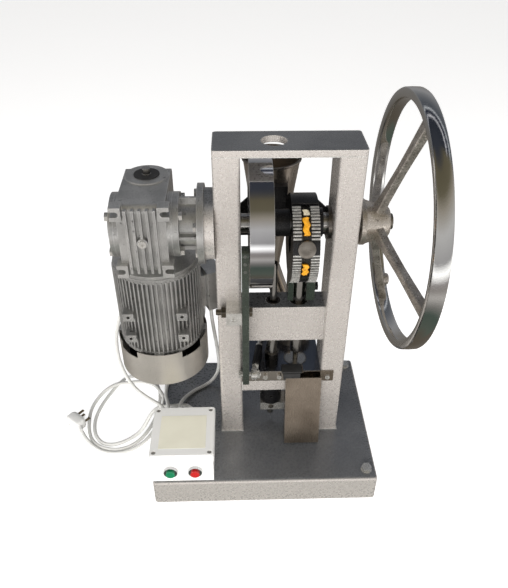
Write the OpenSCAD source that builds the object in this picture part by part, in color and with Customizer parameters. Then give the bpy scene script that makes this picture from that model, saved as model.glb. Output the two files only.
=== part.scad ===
/* [Base] */
// Width of the base box, left to right
base_w = 402; // [370:1:480]
// Depth of the base box, front to back
base_d = 313; // [280:1:380]
// Height of the folded sheet box
base_h = 56; // [46:1:80]
// Thickness of the base sheet
sheet_t = 3; // [2:0.5:4]
// Radius of the base's folds and corners
fold_r = 6; // [5:0.5:9]
// Thickness of the rubber feet
foot_t = 3; // [2:0.5:8]

/* [Frame] */
// Width over both uprights
frame_w = 220; // [214:1:264]
// Width of an upright tube
upright_w = 40; // [36:1:43]
// Depth of an upright tube
upright_d = 72; // [66:1:87]
// Height of the uprights above the base
upright_h = 562; // [540:1:675]
// Wall of the upright tubes
tube_wall = 5; // [4:0.5:7]
// Outer corner radius of the upright tubes
tube_r = 5; // [3:0.5:7]
// Thickness of the top plate
top_t = 10; // [8:1:14]
// Radius of the hole in the top plate
top_hole_r = 19; // [12:0.5:24]
// Depth of the upper beam, front to back
beam_d = 44; // [40:1:56]
// Height of the upper beam
beam_t = 72; // [50:1:86]
// Height of the beam's top above the base
beam_top_h = 288; // [278:1:292]
// Thickness of the lower beam
lower_t = 23; // [16:1:28]
// Thickness of the die table
table_t = 23; // [20:1:28]
// Height of the die table's top above the base
table_top_h = 155; // [150:1:160]

/* [Shaft] */
// Height of the main shaft above the base
shaft_h = 438; // [436:1:446]
// Radius of the main shaft
shaft_r = 15; // [13:0.5:16]
// Running clearance of a shaft in its bush, on the radius
run_gap = 0.05; // [0.02:0.01:0.08]
// Gap kept between moving bodies that do not touch
gap = 0.5; // [0.4:0.1:0.8]
// Radius of the cam drum
drum_r = 102; // [90:1:110]
// Width of the cam drum
drum_w = 35; // [30:1:35]
// Radius of the toothed ring
ring_r = 71; // [69:0.5:72]
// Width of the toothed ring
ring_w = 41; // [36:1:42]
// Distance of the ring's centre below the shaft
ring_drop = 28; // [26:1:29]
// Stroke of the upper punch
ram_stroke = 50; // [40:1:52]
// Radius of the punch rod
ram_r = 10; // [8:0.5:11]
// Radius of the lift rod below the beam
lift_r = 10; // [8:0.5:11]
// Radius of the lift rod above the beam
lift_top_r = 6; // [5:0.5:6.5]
// Stroke of the lower punch
lift_stroke = 12; // [8:1:12]
// Radius of the hand wheel
wheel_r = 200; // [170:1:240]
// Width of the hand wheel's rim
rim_w = 24.5; // [20:0.5:30]

/* [Drive] */
// Centre distance of the worm gear
worm_cd = 50; // [48:1:54]
// Distance from gearbox centre to its flange face
gear_reach = 90; // [88:1:100]
// Half height of the gearbox housing
gear_half = 60; // [58:1:64]
// Thickness of the round boss on the frame
boss_t = 15; // [10:1:20]
// Radius of the motor over its fins
motor_r = 75; // [72:1:78]
// Length of the motor's finned body
motor_l = 160; // [140:1:170]
// Radius of the fan cowl
cowl_r = 81; // [80:1:84]

/* [Box] */
// Width of the control box
box_w = 112; // [100:1:120]
// Depth of the control box
box_d = 113; // [100:1:120]
// Height of the control box with its lid
box_h = 70; // [62:1:90]
// Travel of the push buttons
button_travel = 4; // [3:0.5:5]

/* [Hidden] */
$fn = 64;
little = 0.01;

// Frame lines, with X = 0 midway over the whole machine and Y = 0 on the shaft axis
frame_x = 60;
frame_l = frame_x - frame_w / 2;
frame_r = frame_x + frame_w / 2;
in_l = frame_l + upright_w;
in_r = frame_r - upright_w;
base_x = 29;
base_y = 4;
base_l = base_x - base_w / 2;
base_f = base_y - base_d / 2;
base_top = foot_t + base_h;
top_z = base_top + upright_h;
shaft_z = base_top + shaft_h;
beam_z1 = base_top + beam_top_h;
beam_z0 = beam_z1 - beam_t;
table_z1 = base_top + table_top_h;
table_z0 = table_z1 - table_t;
front_y = -upright_d / 2;

module rod_x(r, x0, x1, y = 0, z = 0) {
  translate([x0, y, z]) rotate([0, 90, 0]) cylinder(r = r, h = x1 - x0);
}
module rod_y(r, y0, y1, x = 0, z = 0) {
  translate([x, y1, z]) rotate([90, 0, 0]) cylinder(r = r, h = y1 - y0);
}
module rod_z(r, z0, z1, x = 0, y = 0) {
  translate([x, y, z0]) cylinder(r = r, h = z1 - z0);
}
module block(x0, x1, y0, y1, z0, z1) {
  translate([x0, y0, z0]) cube([x1 - x0, y1 - y0, z1 - z0]);
}
module round_rect(w, d, r) {
  union() {
    square([w - 2 * r, d], center = true);
    square([w, d - 2 * r], center = true);
    for (sx = [-1, 1], sy = [-1, 1])
      translate([sx * (w / 2 - r), sy * (d / 2 - r)]) circle(r = r, $fn = 32);
  }
}
module hex(af, h) {
  cylinder(r = af / 2 / cos(30), h = h, $fn = 6);
}

// ---- Base ----
lip_w = 26;
foot_r = 11;
foot_in = 15;
bolt_in = [18, 20];
base_bolt_r = 5;

bolted = [[-1, 1], [1, -1], [1, 1]];

module base_corners(in_x, in_y, corners = concat([[-1, -1]], bolted)) {
  for (s = corners)
    translate([base_x + s[0] * (base_w / 2 - in_x), base_y + s[1] * (base_d / 2 - in_y), 0])
      children();
}

module base_cover() color("silver") difference() {
  union() {
    translate([base_x, base_y, foot_t])
      linear_extrude(base_h - fold_r) round_rect(base_w, base_d, fold_r);
    translate([base_x, base_y, base_top - fold_r])
      linear_extrude(fold_r) square([base_w - 2 * fold_r, base_d - 2 * fold_r], center = true);
    for (sy = [-1, 1]) rod_x(fold_r, base_l + fold_r, base_l + base_w - fold_r,
      base_y + sy * (base_d / 2 - fold_r), base_top - fold_r);
    for (sx = [-1, 1]) rod_y(fold_r, base_f + fold_r, base_f + base_d - fold_r,
      base_x + sx * (base_w / 2 - fold_r), base_top - fold_r);
    base_corners(fold_r, fold_r) translate([0, 0, base_top - fold_r]) sphere(fold_r);
  }
  translate([base_x, base_y, foot_t + sheet_t]) linear_extrude(base_h - 2 * sheet_t)
    round_rect(base_w - 2 * sheet_t, base_d - 2 * sheet_t, fold_r - sheet_t / 2);
  translate([base_x, base_y, 0]) linear_extrude(foot_t + sheet_t + 1)
    square([base_w - 2 * lip_w, base_d - 2 * lip_w], center = true);
  base_corners(bolt_in[0], bolt_in[1], bolted)
    translate([0, 0, foot_t + sheet_t + 1]) cylinder(r = base_bolt_r, h = base_h);
}

module rubber_feet() color("dimgray")
  base_corners(foot_in, foot_in) cylinder(r = foot_r, h = foot_t);

module base_bolts() color("gainsboro") base_corners(bolt_in[0], bolt_in[1], bolted) {
  rod_z(base_bolt_r, base_top - sheet_t - 12, base_top + 1.6);
  translate([0, 0, base_top]) difference() {
    cylinder(r = 10, h = 1.6);
    translate([0, 0, -1]) cylinder(r = base_bolt_r, h = 4);
  }
  translate([0, 0, base_top + 1.6]) hex(16, 6.4);
  translate([0, 0, base_top - sheet_t - 8]) difference() {
    hex(16, 8);
    translate([0, 0, -1]) cylinder(r = base_bolt_r, h = 10);
  }
}

// ---- Frame ----
bush_r = shaft_r + run_gap + 6;
screw_r = 2.5;
ear_x = in_r + 12;
ear_z = table_z0 + 12;

module upright(x) {
  translate([x, 0, base_top]) linear_extrude(upright_h) difference() {
    round_rect(upright_w, upright_d, tube_r);
    round_rect(upright_w - 2 * tube_wall, upright_d - 2 * tube_wall, max(1, tube_r - tube_wall + 1));
  }
}

module left_upright() color("silver") difference() {
  upright(frame_l + upright_w / 2);
  rod_x(bush_r, frame_l - 1, in_l + 1, 0, shaft_z);
}

module right_upright() color("silver") difference() {
  upright(frame_r - upright_w / 2);
  rod_x(bush_r, in_r - 1, frame_r + 1, 0, shaft_z);
  rod_y(screw_r, front_y - 1, front_y + tube_wall + 1, ear_x, ear_z);
}

top_hole_x = frame_x - 21;
module top_plate() color("silver") difference() {
  translate([frame_x, 0, top_z]) linear_extrude(top_t) round_rect(frame_w, upright_d, tube_r);
  rod_z(top_hole_r, top_z - 1, top_z + top_t + 1, top_hole_x);
}

// ---- Moving axes ----
ram_x = in_l + 97;
lift_x = in_l + 54;
ring_x0 = ram_x - ring_w / 2;
ring_x1 = ram_x + ring_w / 2;
ring_z = shaft_z - ring_drop;
punch_r = 4.75;
punch_body_r = 8;
die_r = 19.5;
die_t = 18;
ram_bush_r = ram_r + run_gap + 5.5;
lift_bush_r = lift_r + run_gap + 2.5;
table_bush_h = 18;

module upper_beam() color("silver") difference() {
  block(in_l, in_r, -beam_d / 2, beam_d / 2, beam_z0, beam_z1);
  rod_z(ram_bush_r, beam_z0 - 1, beam_z1 + 1, ram_x);
  rod_z(lift_bush_r, beam_z0 - 1, beam_z1 + 1, lift_x);
}

module lower_beam() color("silver") difference() {
  block(in_l, in_r, front_y, -front_y, table_z0 - lower_t, table_z0);
  rod_z(punch_body_r + gap, table_z0 - lower_t - 1, table_z0 + 1, ram_x);
  rod_z(lift_r + gap, table_z0 - lower_t - 1, table_z0 + 1, lift_x);
}

table_screw_x = [in_l + 41, in_l + 66];
die_screw_r = 4;
table_y = 102;
module die_table() color("lightsteelblue") difference() {
  block(in_l, in_r, front_y, table_y, table_z0, table_z1);
  rod_z(die_r, table_z1 - die_t, table_z1 + 1, ram_x);
  rod_z(punch_body_r + gap, table_z0 - 1, table_z1, ram_x);
  rod_z(lift_bush_r, table_z0 - 1, table_z1 + 1, lift_x);
  for (x = table_screw_x) rod_y(screw_r, front_y - 1, front_y + 14, x, table_z0 + 12);
  rod_y(die_screw_r, front_y - 1, -die_r + 1, ram_x, table_z0 + 12);
}

module die() color("gainsboro") difference() {
  rod_z(die_r, table_z1 - die_t, table_z1, ram_x);
  rod_z(punch_r + run_gap, table_z1 - die_t - 1, table_z1 + 1, ram_x);
}

module bush_z(r_out, r_in, z0, z1, x) {
  difference() {
    rod_z(r_out, z0, z1, x);
    rod_z(r_in, z0 - 1, z1 + 1, x);
  }
}
flange_w = 6;
module plain_bushes() color("darkgoldenrod") {
  bush_z(ram_bush_r, ram_r + run_gap, beam_z0, beam_z1, ram_x);
  bush_z(lift_bush_r, lift_r + run_gap, beam_z0, beam_z1, lift_x);
  bush_z(lift_bush_r, lift_r + run_gap, table_z0, table_z1 + table_bush_h, lift_x);
  difference() {
    rod_x(bush_r, frame_l, in_l, 0, shaft_z);
    rod_x(shaft_r + run_gap, frame_l - 1, in_l + 1, 0, shaft_z);
  }
  difference() {
    union() {
      rod_x(bush_r, in_r, frame_r, 0, shaft_z);
      rod_x(bush_r + 5, in_r - flange_w, in_r, 0, shaft_z);
    }
    rod_x(shaft_r + run_gap, in_r - flange_w - 1, frame_r + 1, 0, shaft_z);
  }
}

// ---- Gearbox ----
boss_r = 55.5;
boss_bore = 27;
flange_face = frame_l - boss_t;
gear_x = flange_face - gear_reach;
cover_x = 43;
cover_r = 50;
plate_t = 10;
plate_r = 62.5;
plate_bolt_c = 47;
plate_angles = [22, 112, 202, 292];
cover_bolt_c = 43;
gear_bolt_r = 4;
shaft_end_r = 12.5;
wheel_hub_r = 19;
worm_top = 11;

module round_pattern(c, angles) {
  for (a = angles) translate([0, -c * cos(a), c * sin(a)]) children();
}
module gear_frame() {
  translate([gear_x, 0, shaft_z]) children();
}

module frame_boss() color("silver") difference() {
  rod_x(boss_r, flange_face, frame_l, 0, shaft_z);
  rod_x(boss_bore, flange_face - 1, frame_l + 1, 0, shaft_z);
  translate([flange_face, 0, shaft_z]) round_pattern(plate_bolt_c, plate_angles)
    rod_x(gear_bolt_r, -1, boss_t - 3);
}

module gearbox_flange() color("lightgray") gear_frame() difference() {
  union() {
    rod_x(cover_r, cover_x, cover_x + 10);
    rod_x(35, cover_x, gear_reach - 1);
    rod_x(plate_r, gear_reach - plate_t, gear_reach);
    for (a = [0:90:270]) rotate([a, 0, 0]) block(cover_x + 5, gear_reach - 5, -2.5, 2.5, 30, 46);
  }
  rod_x(boss_bore, cover_x - 1, gear_reach + 1);
  round_pattern(cover_bolt_c, [45:90:315]) rod_x(gear_bolt_r, cover_x - 1, cover_x + 11);
  round_pattern(plate_bolt_c, plate_angles) rod_x(gear_bolt_r + 0.5, gear_reach - plate_t - 1,
    gear_reach + 1);
}

housing_x = 36;
housing_y = [-50, 84];
wheel_chamber_r = 43;
worm_tunnel_r = 14;
fin_n = 5;
fin_t = 4;

module gearbox_housing() color("lightgray") gear_frame() difference() {
  union() {
    rotate([90, 0, 90]) translate([0, 0, -housing_x]) linear_extrude(2 * housing_x)
      translate([(housing_y[0] + housing_y[1]) / 2, 0])
        round_rect(housing_y[1] - housing_y[0], 2 * gear_half - 4, 12);
    rod_x(cover_r, -cover_x, cover_x);
    translate([0, worm_cd, 0]) rod_z(34, -gear_half, gear_half);
    for (sx = [-1, 1], sz = [-1, 1])
      block(min(sx * 26, sx * cover_x), max(sx * 26, sx * cover_x), -60, -40,
        min(sz * 38, sz * gear_half), max(sz * 38, sz * gear_half));
    for (i = [0:fin_n - 1])
      block(-23 + i * 10.5, -23 + i * 10.5 + fin_t, -58, housing_y[0], -gear_half + 6, gear_half - 6);
    rod_y(8, -59, housing_y[0]);
  }
  rod_x(wheel_chamber_r, -24, 24);
  rod_x(wheel_hub_r + gap, -cover_x - 1, cover_x + 1);
  translate([0, worm_cd, 0]) {
    rod_z(worm_tunnel_r, -gear_half + 12, gear_half - 12);
    rod_z(worm_r + run_gap, -gear_half - 1, gear_half + 1);
    rod_z(seal_r, gear_half - 6, gear_half + 1);
  }
  for (sx = [-1, 1], sz = [-1, 1]) {
    rod_y(4.25, -61, -39, sx * 34, sz * 49);
    block(min(sx * 34, sx * 44), max(sx * 34, sx * 44), -61, -39, sz * 49 - 4.25, sz * 49 + 4.25);
  }
  for (sx = [-1, 1]) round_pattern(cover_bolt_c, [45:90:315])
    rod_x(gear_bolt_r, min(sx * 28, sx * 44), max(sx * 28, sx * 44));
}

module gearbox_cover() color("lightgray") gear_frame() difference() {
  union() {
    rod_x(cover_r, -cover_x - 7, -cover_x);
    rod_x(30, -cover_x - 12, -cover_x);
  }
  rod_x(shaft_end_r + gap, -cover_x - 9, -cover_x + 1);
  round_pattern(cover_bolt_c, [45:90:315]) rod_x(gear_bolt_r, -cover_x - 8, -cover_x + 1);
}

module bolt_x(x0, x1, head, s) {
  rod_x(gear_bolt_r, x0, x1);
  translate([s > 0 ? x1 : x0 - head, 0, 0]) rotate([0, 90, 0]) hex(13, head);
}
module gearbox_bolts() color("gainsboro") gear_frame() {
  round_pattern(cover_bolt_c, [45:90:315]) {
    bolt_x(cover_x - 12, cover_x + 10, 5.5, 1);
    bolt_x(-cover_x - 7, -cover_x + 12, 5.5, -1);
  }
  round_pattern(plate_bolt_c, plate_angles)
    bolt_x(gear_reach - plate_t, gear_reach + 8, 5.5, -1);
  difference() {
    rod_y(6, -62, -59);
    translate([0, -62.5, 0]) rotate([-90, 0, 0]) hex(5, 2.5);
  }
  difference() {
    rod_x(6, housing_x, housing_x + 4, 72, -40);
    translate([housing_x + 2, 72, -40]) rotate([0, 90, 0]) hex(5, 3);
  }
}

worm_r = 7;
seal_r = 20;
worm_y = worm_cd;
module worm_seal() color("black") gear_frame() difference() {
  rod_z(seal_r, gear_half - 6, gear_half + 1.5, 0, worm_y);
  rod_z(worm_r + run_gap, gear_half - 7, gear_half + 3, 0, worm_y);
}

// ---- Motor, hung under the gearbox on the worm's axis ----
neck_l = 32;
motor_z1 = shaft_z - gear_half - neck_l;
motor_z0 = motor_z1 - motor_l;
cowl_z0 = base_top + 122;
cowl_z1 = cowl_z0 + 70;
cowl_t = 1.5;
core_r = motor_r - 9;
rotor_r = 36;
rotor_shaft_r = 9.5;
fins = 60;
shield_t = 12;

module at_motor() {
  translate([gear_x, worm_y, 0]) children();
}

module motor_flange() color("lightgray") at_motor() difference() {
  rotate_extrude() polygon([[20, motor_z1], [motor_r - 3, motor_z1], [motor_r - 3, motor_z1 + 6],
    [44, motor_z1 + neck_l - 8], [44, motor_z1 + neck_l], [20, motor_z1 + neck_l]]);
  for (a = [45:90:315]) rotate([0, 0, a]) rod_z(gear_bolt_r, motor_z1 - 1, motor_z1 + neck_l + 1, 36);
}

module motor_body() color("lightgray") at_motor() difference() {
  union() {
    rod_z(core_r, motor_z0, motor_z1);
    rod_z(motor_r - 2, motor_z1 - 8, motor_z1);
    rod_z(motor_r - 2, motor_z0, motor_z0 + 7);
    for (i = [0:fins - 1]) rotate([0, 0, i * 360 / fins])
      block(core_r - 2, motor_r, -1.3, 1.3, motor_z0 + 4, motor_z1 - 5);
    for (sx = [-1, 1], h = [motor_z0 + 34, motor_z0 + 80]) block(min(sx * 36, sx * 54),
      max(sx * 36, sx * 54), -motor_r - 1, -40, h, h + 15);
    rotate([0, 0, 25]) block(core_r - 4, motor_r + 2, -30, 30, motor_z0 + 50, motor_z0 + 116);
    for (a = [0:90:270]) rotate([0, 0, a])
      block(core_r, cowl_r - cowl_t - 0.5, -8, 8, motor_z0 - 4, motor_z0 + 6);
  }
  rod_z(rotor_r + 2, motor_z0 + shield_t, motor_z1 - shield_t);
  rod_z(rotor_shaft_r + run_gap, motor_z0 - 1, motor_z1 + 1);
  for (sx = [-1, 1], h = [motor_z0 + 34, motor_z0 + 80])
    rod_y(3, -motor_r - 2, -motor_r + 12, sx * 45, h + 7.5);
}

module fan_cowl() color("silver") at_motor() difference() {
  rod_z(cowl_r, cowl_z0, cowl_z1);
  rod_z(cowl_r - cowl_t, cowl_z0 + cowl_t, cowl_z1 + 1);
  for (a = [45:90:315]) rotate([0, 0, a - 90])
    block(cowl_r - 12, cowl_r + 5, -22, 22, cowl_z1 - 14, cowl_z1 + 1);
  for (r = [20:10:60]) difference() {
    rod_z(r + 2.5, cowl_z0 - 1, cowl_z0 + cowl_t + 1);
    rod_z(r - 2.5, cowl_z0 - 2, cowl_z0 + cowl_t + 2);
    for (a = [0:45:135]) rotate([0, 0, a]) block(-80, 80, -3, 3, cowl_z0 - 3, cowl_z0 + 3);
  }
}

module terminal_box() color("dimgray") at_motor() rotate([0, 0, 25]) difference() {
  block(motor_r + 2, motor_r + 32, -40, 40, motor_z0 + 44, motor_z0 + 124);
  block(motor_r + 4, motor_r + 28, -37, 37, motor_z0 + 47, motor_z0 + 121);
}

// ---- Hopper and its bracket ----
hopper_x = 45;
hopper_y = 148;
hopper_r = 50;
hopper_neck_r = 20;
hopper_z1 = base_top + 484;
hopper_z0 = base_top + 275;
hopper_t = 1.5;
spout_r = 17;
spout_cap = 6;
shoe_y = 64;
shoe_r = 35;
shoe_h = 20;
shoe_lift = 0.3;
bracket_y = drum_r + 1.5;
bracket_t = 4;
arm_x = in_l + 65;
arm_z = shaft_z - 12;

module rod_between(p, q, r, over = 0) {
  d = q - p;
  len = norm(d);
  translate(p) rotate([0, acos(d[2] / len), atan2(d[1], d[0])])
    translate([0, 0, -over]) cylinder(r = r, h = len + 2 * over);
}
spout_top = [hopper_x, hopper_y, hopper_z0 - spout_cap];
spout_end = [ram_x, shoe_y, table_z1 + shoe_h - 6];

module hopper_cone(grow) {
  translate([hopper_x, hopper_y, hopper_z0])
    cylinder(r1 = hopper_neck_r + grow, r2 = hopper_r + grow, h = hopper_z1 - hopper_z0);
}
module hopper() color("gainsboro") difference() {
  union() {
    hopper_cone(0);
    rod_z(hopper_neck_r, hopper_z0 - spout_cap, hopper_z0, hopper_x, hopper_y);
    translate([0, hopper_y, 0]) bush_z(hopper_r + 1.8, hopper_r - hopper_t, hopper_z1 - 3,
      hopper_z1, hopper_x);
  }
  translate([hopper_x, hopper_y, hopper_z0]) cylinder(r1 = hopper_neck_r - hopper_t,
    r2 = hopper_r - hopper_t, h = hopper_z1 - hopper_z0 + little);
  rod_z(hopper_neck_r - hopper_t, hopper_z0 - spout_cap - 1, hopper_z0 + 0.1, hopper_x, hopper_y);
}

module hopper_spout() color("gainsboro") difference() {
  rod_between(spout_top, spout_end, spout_r, 8);
  rod_between(spout_top, spout_end, spout_r - hopper_t, 10);
  rod_z(hopper_r, hopper_z0 - spout_cap, hopper_z1, hopper_x, hopper_y);
  block(ram_x - 60, ram_x + 40, shoe_y - 40, shoe_y + 40, table_z1 - 9, table_z1 + shoe_h + 1);
}

strap_x = [in_l - 12, in_r + 8];
module hopper_bracket() color("black") difference() {
  union() {
    translate([0, bracket_y + bracket_t, shaft_z]) rotate([90, 0, 0]) linear_extrude(bracket_t)
      polygon([[strap_x[0], -84], [strap_x[1] + bracket_t, -84], [strap_x[1] + bracket_t, -34],
        [in_r - 16, -7], [in_l + 16, -7], [strap_x[0], -34]]);
    for (x = strap_x) block(x, x + bracket_t, -front_y, bracket_y + 1, shaft_z - 80, shaft_z - 40);
    block(arm_x - 15, arm_x + 15, bracket_y - 12, bracket_y + 2, arm_z, arm_z + 28);
  }
  hopper_cone(0);
}

// ---- Feed lever ----
lever_t = 11.3;
lever_x0 = in_l + gap;
lever_x1 = lever_x0 + lever_t;
drum_x0 = lever_x1 + 0.7;
pin_y = front_y - 14;
pin_z = base_top + 302;
pin_r = 5;
lever_w = 24;
lever_arm = 139;
link_z = pin_z - lever_arm;
cam_r = 8;
cam_z = pin_z + 111;
link_bolt_r = 4;
slot_len = 5.5;
groove_t = 7;
drum_x1 = drum_x0 + drum_w;

module feed_lever() color("darkslategray") {
  difference() {
    union() {
      block(lever_x0, lever_x1, pin_y - lever_w / 2, pin_y + lever_w / 2, link_z - 14, cam_z);
      rod_x(lever_w / 2, lever_x0, lever_x1, pin_y, cam_z);
    }
    rod_x(pin_r + run_gap, lever_x0 - 1, lever_x1 + 1, pin_y, pin_z);
    rod_x(link_bolt_r + gap, lever_x0 - 1, lever_x1 + 1, pin_y, link_z);
    rod_x(link_bolt_r + gap, lever_x0 - 1, lever_x1 + 1, pin_y, link_z - slot_len);
    block(lever_x0 - 1, lever_x1 + 1, pin_y - link_bolt_r - gap, pin_y + link_bolt_r + gap,
      link_z - slot_len, link_z);
  }
  rod_x(cam_r, lever_x1, drum_x0 + groove_t - gap, pin_y, cam_z);
}

module pivot_block() color("gainsboro") difference() {
  block(in_l - 25, in_l, front_y - 34, front_y, pin_z - 12, pin_z + 12);
  rod_x(pin_r, in_l - 26, in_l + 1, pin_y, pin_z);
}

module pivot_pin() color("dimgray") {
  rod_x(pin_r, in_l - 42, lever_x1 + 6, pin_y, pin_z);
  nut_x(in_l - 33, 8, 17, pin_r, pin_y, pin_z);
  nut_x(lever_x1 + gap, 5, 15, pin_r, pin_y, pin_z);
}
module nut_x(x, t, af, r, y, z) {
  difference() {
    translate([x, y, z]) rotate([0, 90, 0]) hex(af, t);
    rod_x(r, x - 1, x + t + 1, y, z);
  }
}

link_a = [in_l + 20.5, pin_y, link_z];
link_b = [in_l + 38, shoe_y + 2, link_z + 1];
function along(t) = link_a + (link_b - link_a) * t;
module feed_link() color("dimgray") {
  difference() {
    union() {
      rod_x(9, link_a[0] - 5, link_a[0] + 5, pin_y, link_z);
      rod_between(along(0.03), along(0.97), 4);
    }
    rod_x(link_bolt_r, link_a[0] - 6, link_a[0] + 6, pin_y, link_z);
    translate(link_b) rod_z(3, -12, 12);
  }
  difference() {
    rod_between(along(0.2), along(0.62), 6.3);
    rod_between(along(0.19), along(0.63), 4);
  }
  difference() {
    translate([link_b[0], link_b[1], link_b[2] - 5]) cylinder(r = 8, h = 10);
    rod_between(along(0.8), along(0.97), 4);
    translate(link_b) rod_z(3, -12, 12);
  }
  rod_x(link_bolt_r, lever_x0 - 2, link_a[0] + 12, pin_y, link_z);
  translate([lever_x0 - 7, pin_y, link_z]) rotate([0, 90, 0]) hex(13, 5);
  nut_x(link_a[0] + 5, 5, 13, link_bolt_r, pin_y, link_z);
}

module feed_shoe() color("gainsboro") {
  z0 = table_z1 + shoe_lift;
  difference() {
    union() {
      rod_z(shoe_r, z0, z0 + shoe_h - 1, ram_x, shoe_y);
      block(link_b[0] - 9, ram_x - shoe_r + 4, link_b[1] - 6, link_b[1] + 6, z0, z0 + 2.5);
    }
    rod_z(shoe_r - 5, z0 - 1, z0 + shoe_h, ram_x, shoe_y);
    block(ram_x - punch_r - 1, ram_x + punch_r + 1, shoe_y - shoe_r - 1, shoe_y - 10, z0 - 1,
      z0 + shoe_h);
    translate([link_b[0], link_b[1], z0 - 1]) cylinder(r = 3, h = 5);
  }
  rod_z(3, z0, link_b[2] + 5, link_b[0], link_b[1]);
}

// ---- Chute ----
chute_x0 = in_l + 77;
chute_x1 = in_r + 1;
chute_t = 1.5;
chute_top = base_top + 146;
chute_low = base_top + 6;
chute_y1 = front_y - 8;
chute_y0 = front_y - 36;

module side_sheet(x0, x1, outline) {
  translate([x0, 0, 0]) rotate([90, 0, 90]) linear_extrude(x1 - x0) polygon(outline);
}
module chute() color("rosybrown") difference() {
  union() {
    side_sheet(chute_x0, chute_x1, [[chute_y1, chute_top], [chute_y1 - chute_t, chute_top],
      [chute_y0 - chute_t, chute_low], [chute_y0, chute_low]]);
    for (x = [chute_x0, chute_x1 - chute_t])
      side_sheet(x, x + chute_t, [[front_y - gap, chute_top + 6], [chute_y1 - little, chute_top],
        [chute_y0 - little, chute_low], [chute_y0 + 20, chute_low], [front_y - gap, chute_top - 40]]);
    block(chute_x1 - chute_t, ear_x + 11, front_y - 2, front_y - gap, ear_z - 12, ear_z + 12);
  }
  rod_y(screw_r, front_y - 3, front_y + 1, ear_x, ear_z);
}

// ---- Control box ----
box_x0 = base_l - 1;
box_y0 = base_f + 2;
lid_h = 18;
lid_lip = 2;
box_wall = 3;
box_top = base_top + box_h;
button_x = [box_x0 + 35, box_x0 + 78];
button_z = base_top + 27;
button_r = 8;
bezel_r = 12;
barrel_r = 9.5;
face_y = box_y0 + lid_lip;
rear_y = box_y0 + box_d - lid_lip;
gland_r = 5;
glands = [[-160, 42], [-150, 20], [-132, 30], [-108, 18]];

module at_box_screws() {
  for (x = [box_x0 + 8, box_x0 + box_w - 8], y = [box_y0 + 8, box_y0 + box_d - 8])
    translate([x, y, 0]) children();
}

module control_box() color("whitesmoke") difference() {
  union() {
    difference() {
      block(box_x0 + lid_lip, box_x0 + box_w - lid_lip, face_y, rear_y, base_top, box_top - lid_h);
      block(box_x0 + lid_lip + box_wall, box_x0 + box_w - lid_lip - box_wall, face_y + box_wall,
        rear_y - box_wall, base_top + box_wall, box_top);
    }
    at_box_screws() rod_z(5, base_top + 1, box_top - lid_h);
  }
  at_box_screws() rod_z(2, box_top - lid_h - 12, box_top);
  for (x = button_x) rod_y(barrel_r, face_y - 1, face_y + box_wall + 1, x, button_z);
  for (g = glands) rod_y(gland_r, rear_y - box_wall - 1, rear_y + 1, g[0], base_top + g[1]);
}

module control_lid() color("white") difference() {
  union() {
    translate([box_x0 + box_w / 2, box_y0 + box_d / 2, box_top - lid_h]) {
      linear_extrude(lid_h - 3) round_rect(box_w, box_d, 4);
      linear_extrude(lid_h) round_rect(box_w - 3, box_d - 3, 3);
    }
  }
  block(box_x0 + 16, box_x0 + box_w - 16, box_y0 + 5, box_y0 + box_d - 5, box_top - lid_h - 1,
    box_top - 4);
  block(box_x0 + 5, box_x0 + box_w - 5, box_y0 + 16, box_y0 + box_d - 16, box_top - lid_h - 1,
    box_top - 4);
  at_box_screws() rod_z(2, box_top - lid_h - 1, box_top + 1);
  at_box_screws() rod_z(4, box_top - 3, box_top + 1);
}

module button_bezels() color("gainsboro") for (x = button_x) difference() {
  union() {
    rod_y(bezel_r, face_y - 5, face_y, x, button_z);
    rod_y(barrel_r, face_y - 1, face_y + 18, x, button_z);
  }
  rod_y(button_r + 0.3, face_y - 6, face_y + 16, x, button_z);
}
module push_button(x) {
  rod_y(button_r, face_y - 9, face_y + 16 - button_travel - 1, x, button_z);
}
module green_button() color("seagreen") push_button(button_x[0]);
module red_button() color("firebrick") push_button(button_x[1]);

module cap_screw_y(x, y, z, l) {
  rod_y(screw_r, y, y + l, x, z);
  difference() {
    rod_y(4.25, y - 5, y, x, z);
    translate([x, y - 3, z]) rotate([90, 0, 0]) hex(4, 5);
  }
}
module cap_screws() color("gainsboro") {
  for (x = table_screw_x) cap_screw_y(x, front_y, table_z0 + 12, 14);
  cap_screw_y(ear_x, front_y - 2, ear_z, 2 + tube_wall);
  at_box_screws() {
    rod_z(2, box_top - lid_h - 12, box_top - 3);
    rod_z(4, box_top - 3, box_top - 1.2);
  }
}

// ---- Cables ----
cable_r = 3.5;
cord_r = 3.75;
relief_l = 22;
nut_l = 6;

function spline_at(p, q, r, s, t) = 0.5 * (2 * q + (r - p) * t
  + (2 * p - 5 * q + 4 * r - s) * t * t + (3 * q - p - 3 * r + s) * t * t * t);
function smooth(pts, k) = let (n = len(pts)) concat([for (i = [0:n - 2], j = [0:k - 1])
  spline_at(pts[max(i - 1, 0)], pts[i], pts[i + 1], pts[min(i + 2, n - 1)], j / k)], [pts[n - 1]]);
function unit(v) = v / norm(v);
function heading(path, i) = unit(path[min(i + 1, len(path) - 1)] - path[max(i - 1, 0)]);

module tube(path, r, up, sides = 8) {
  n = len(path);
  rings = [for (i = [0:n - 1]) let (t = heading(path, i), s = unit(cross(t, up)), u = cross(s, t))
    for (a = [0:sides - 1]) path[i] + r * (s * cos(a * 360 / sides) + u * sin(a * 360 / sides))];
  sheets = [for (i = [0:n - 2], a = [0:sides - 1]) let (b = (a + 1) % sides)
    [i * sides + a, i * sides + b, (i + 1) * sides + b, (i + 1) * sides + a]];
  polyhedron(rings, concat([[for (a = [sides - 1:-1:0]) a]], sheets,
    [[for (a = [0:sides - 1]) (n - 1) * sides + a]]), convexity = 10);
}

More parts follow.
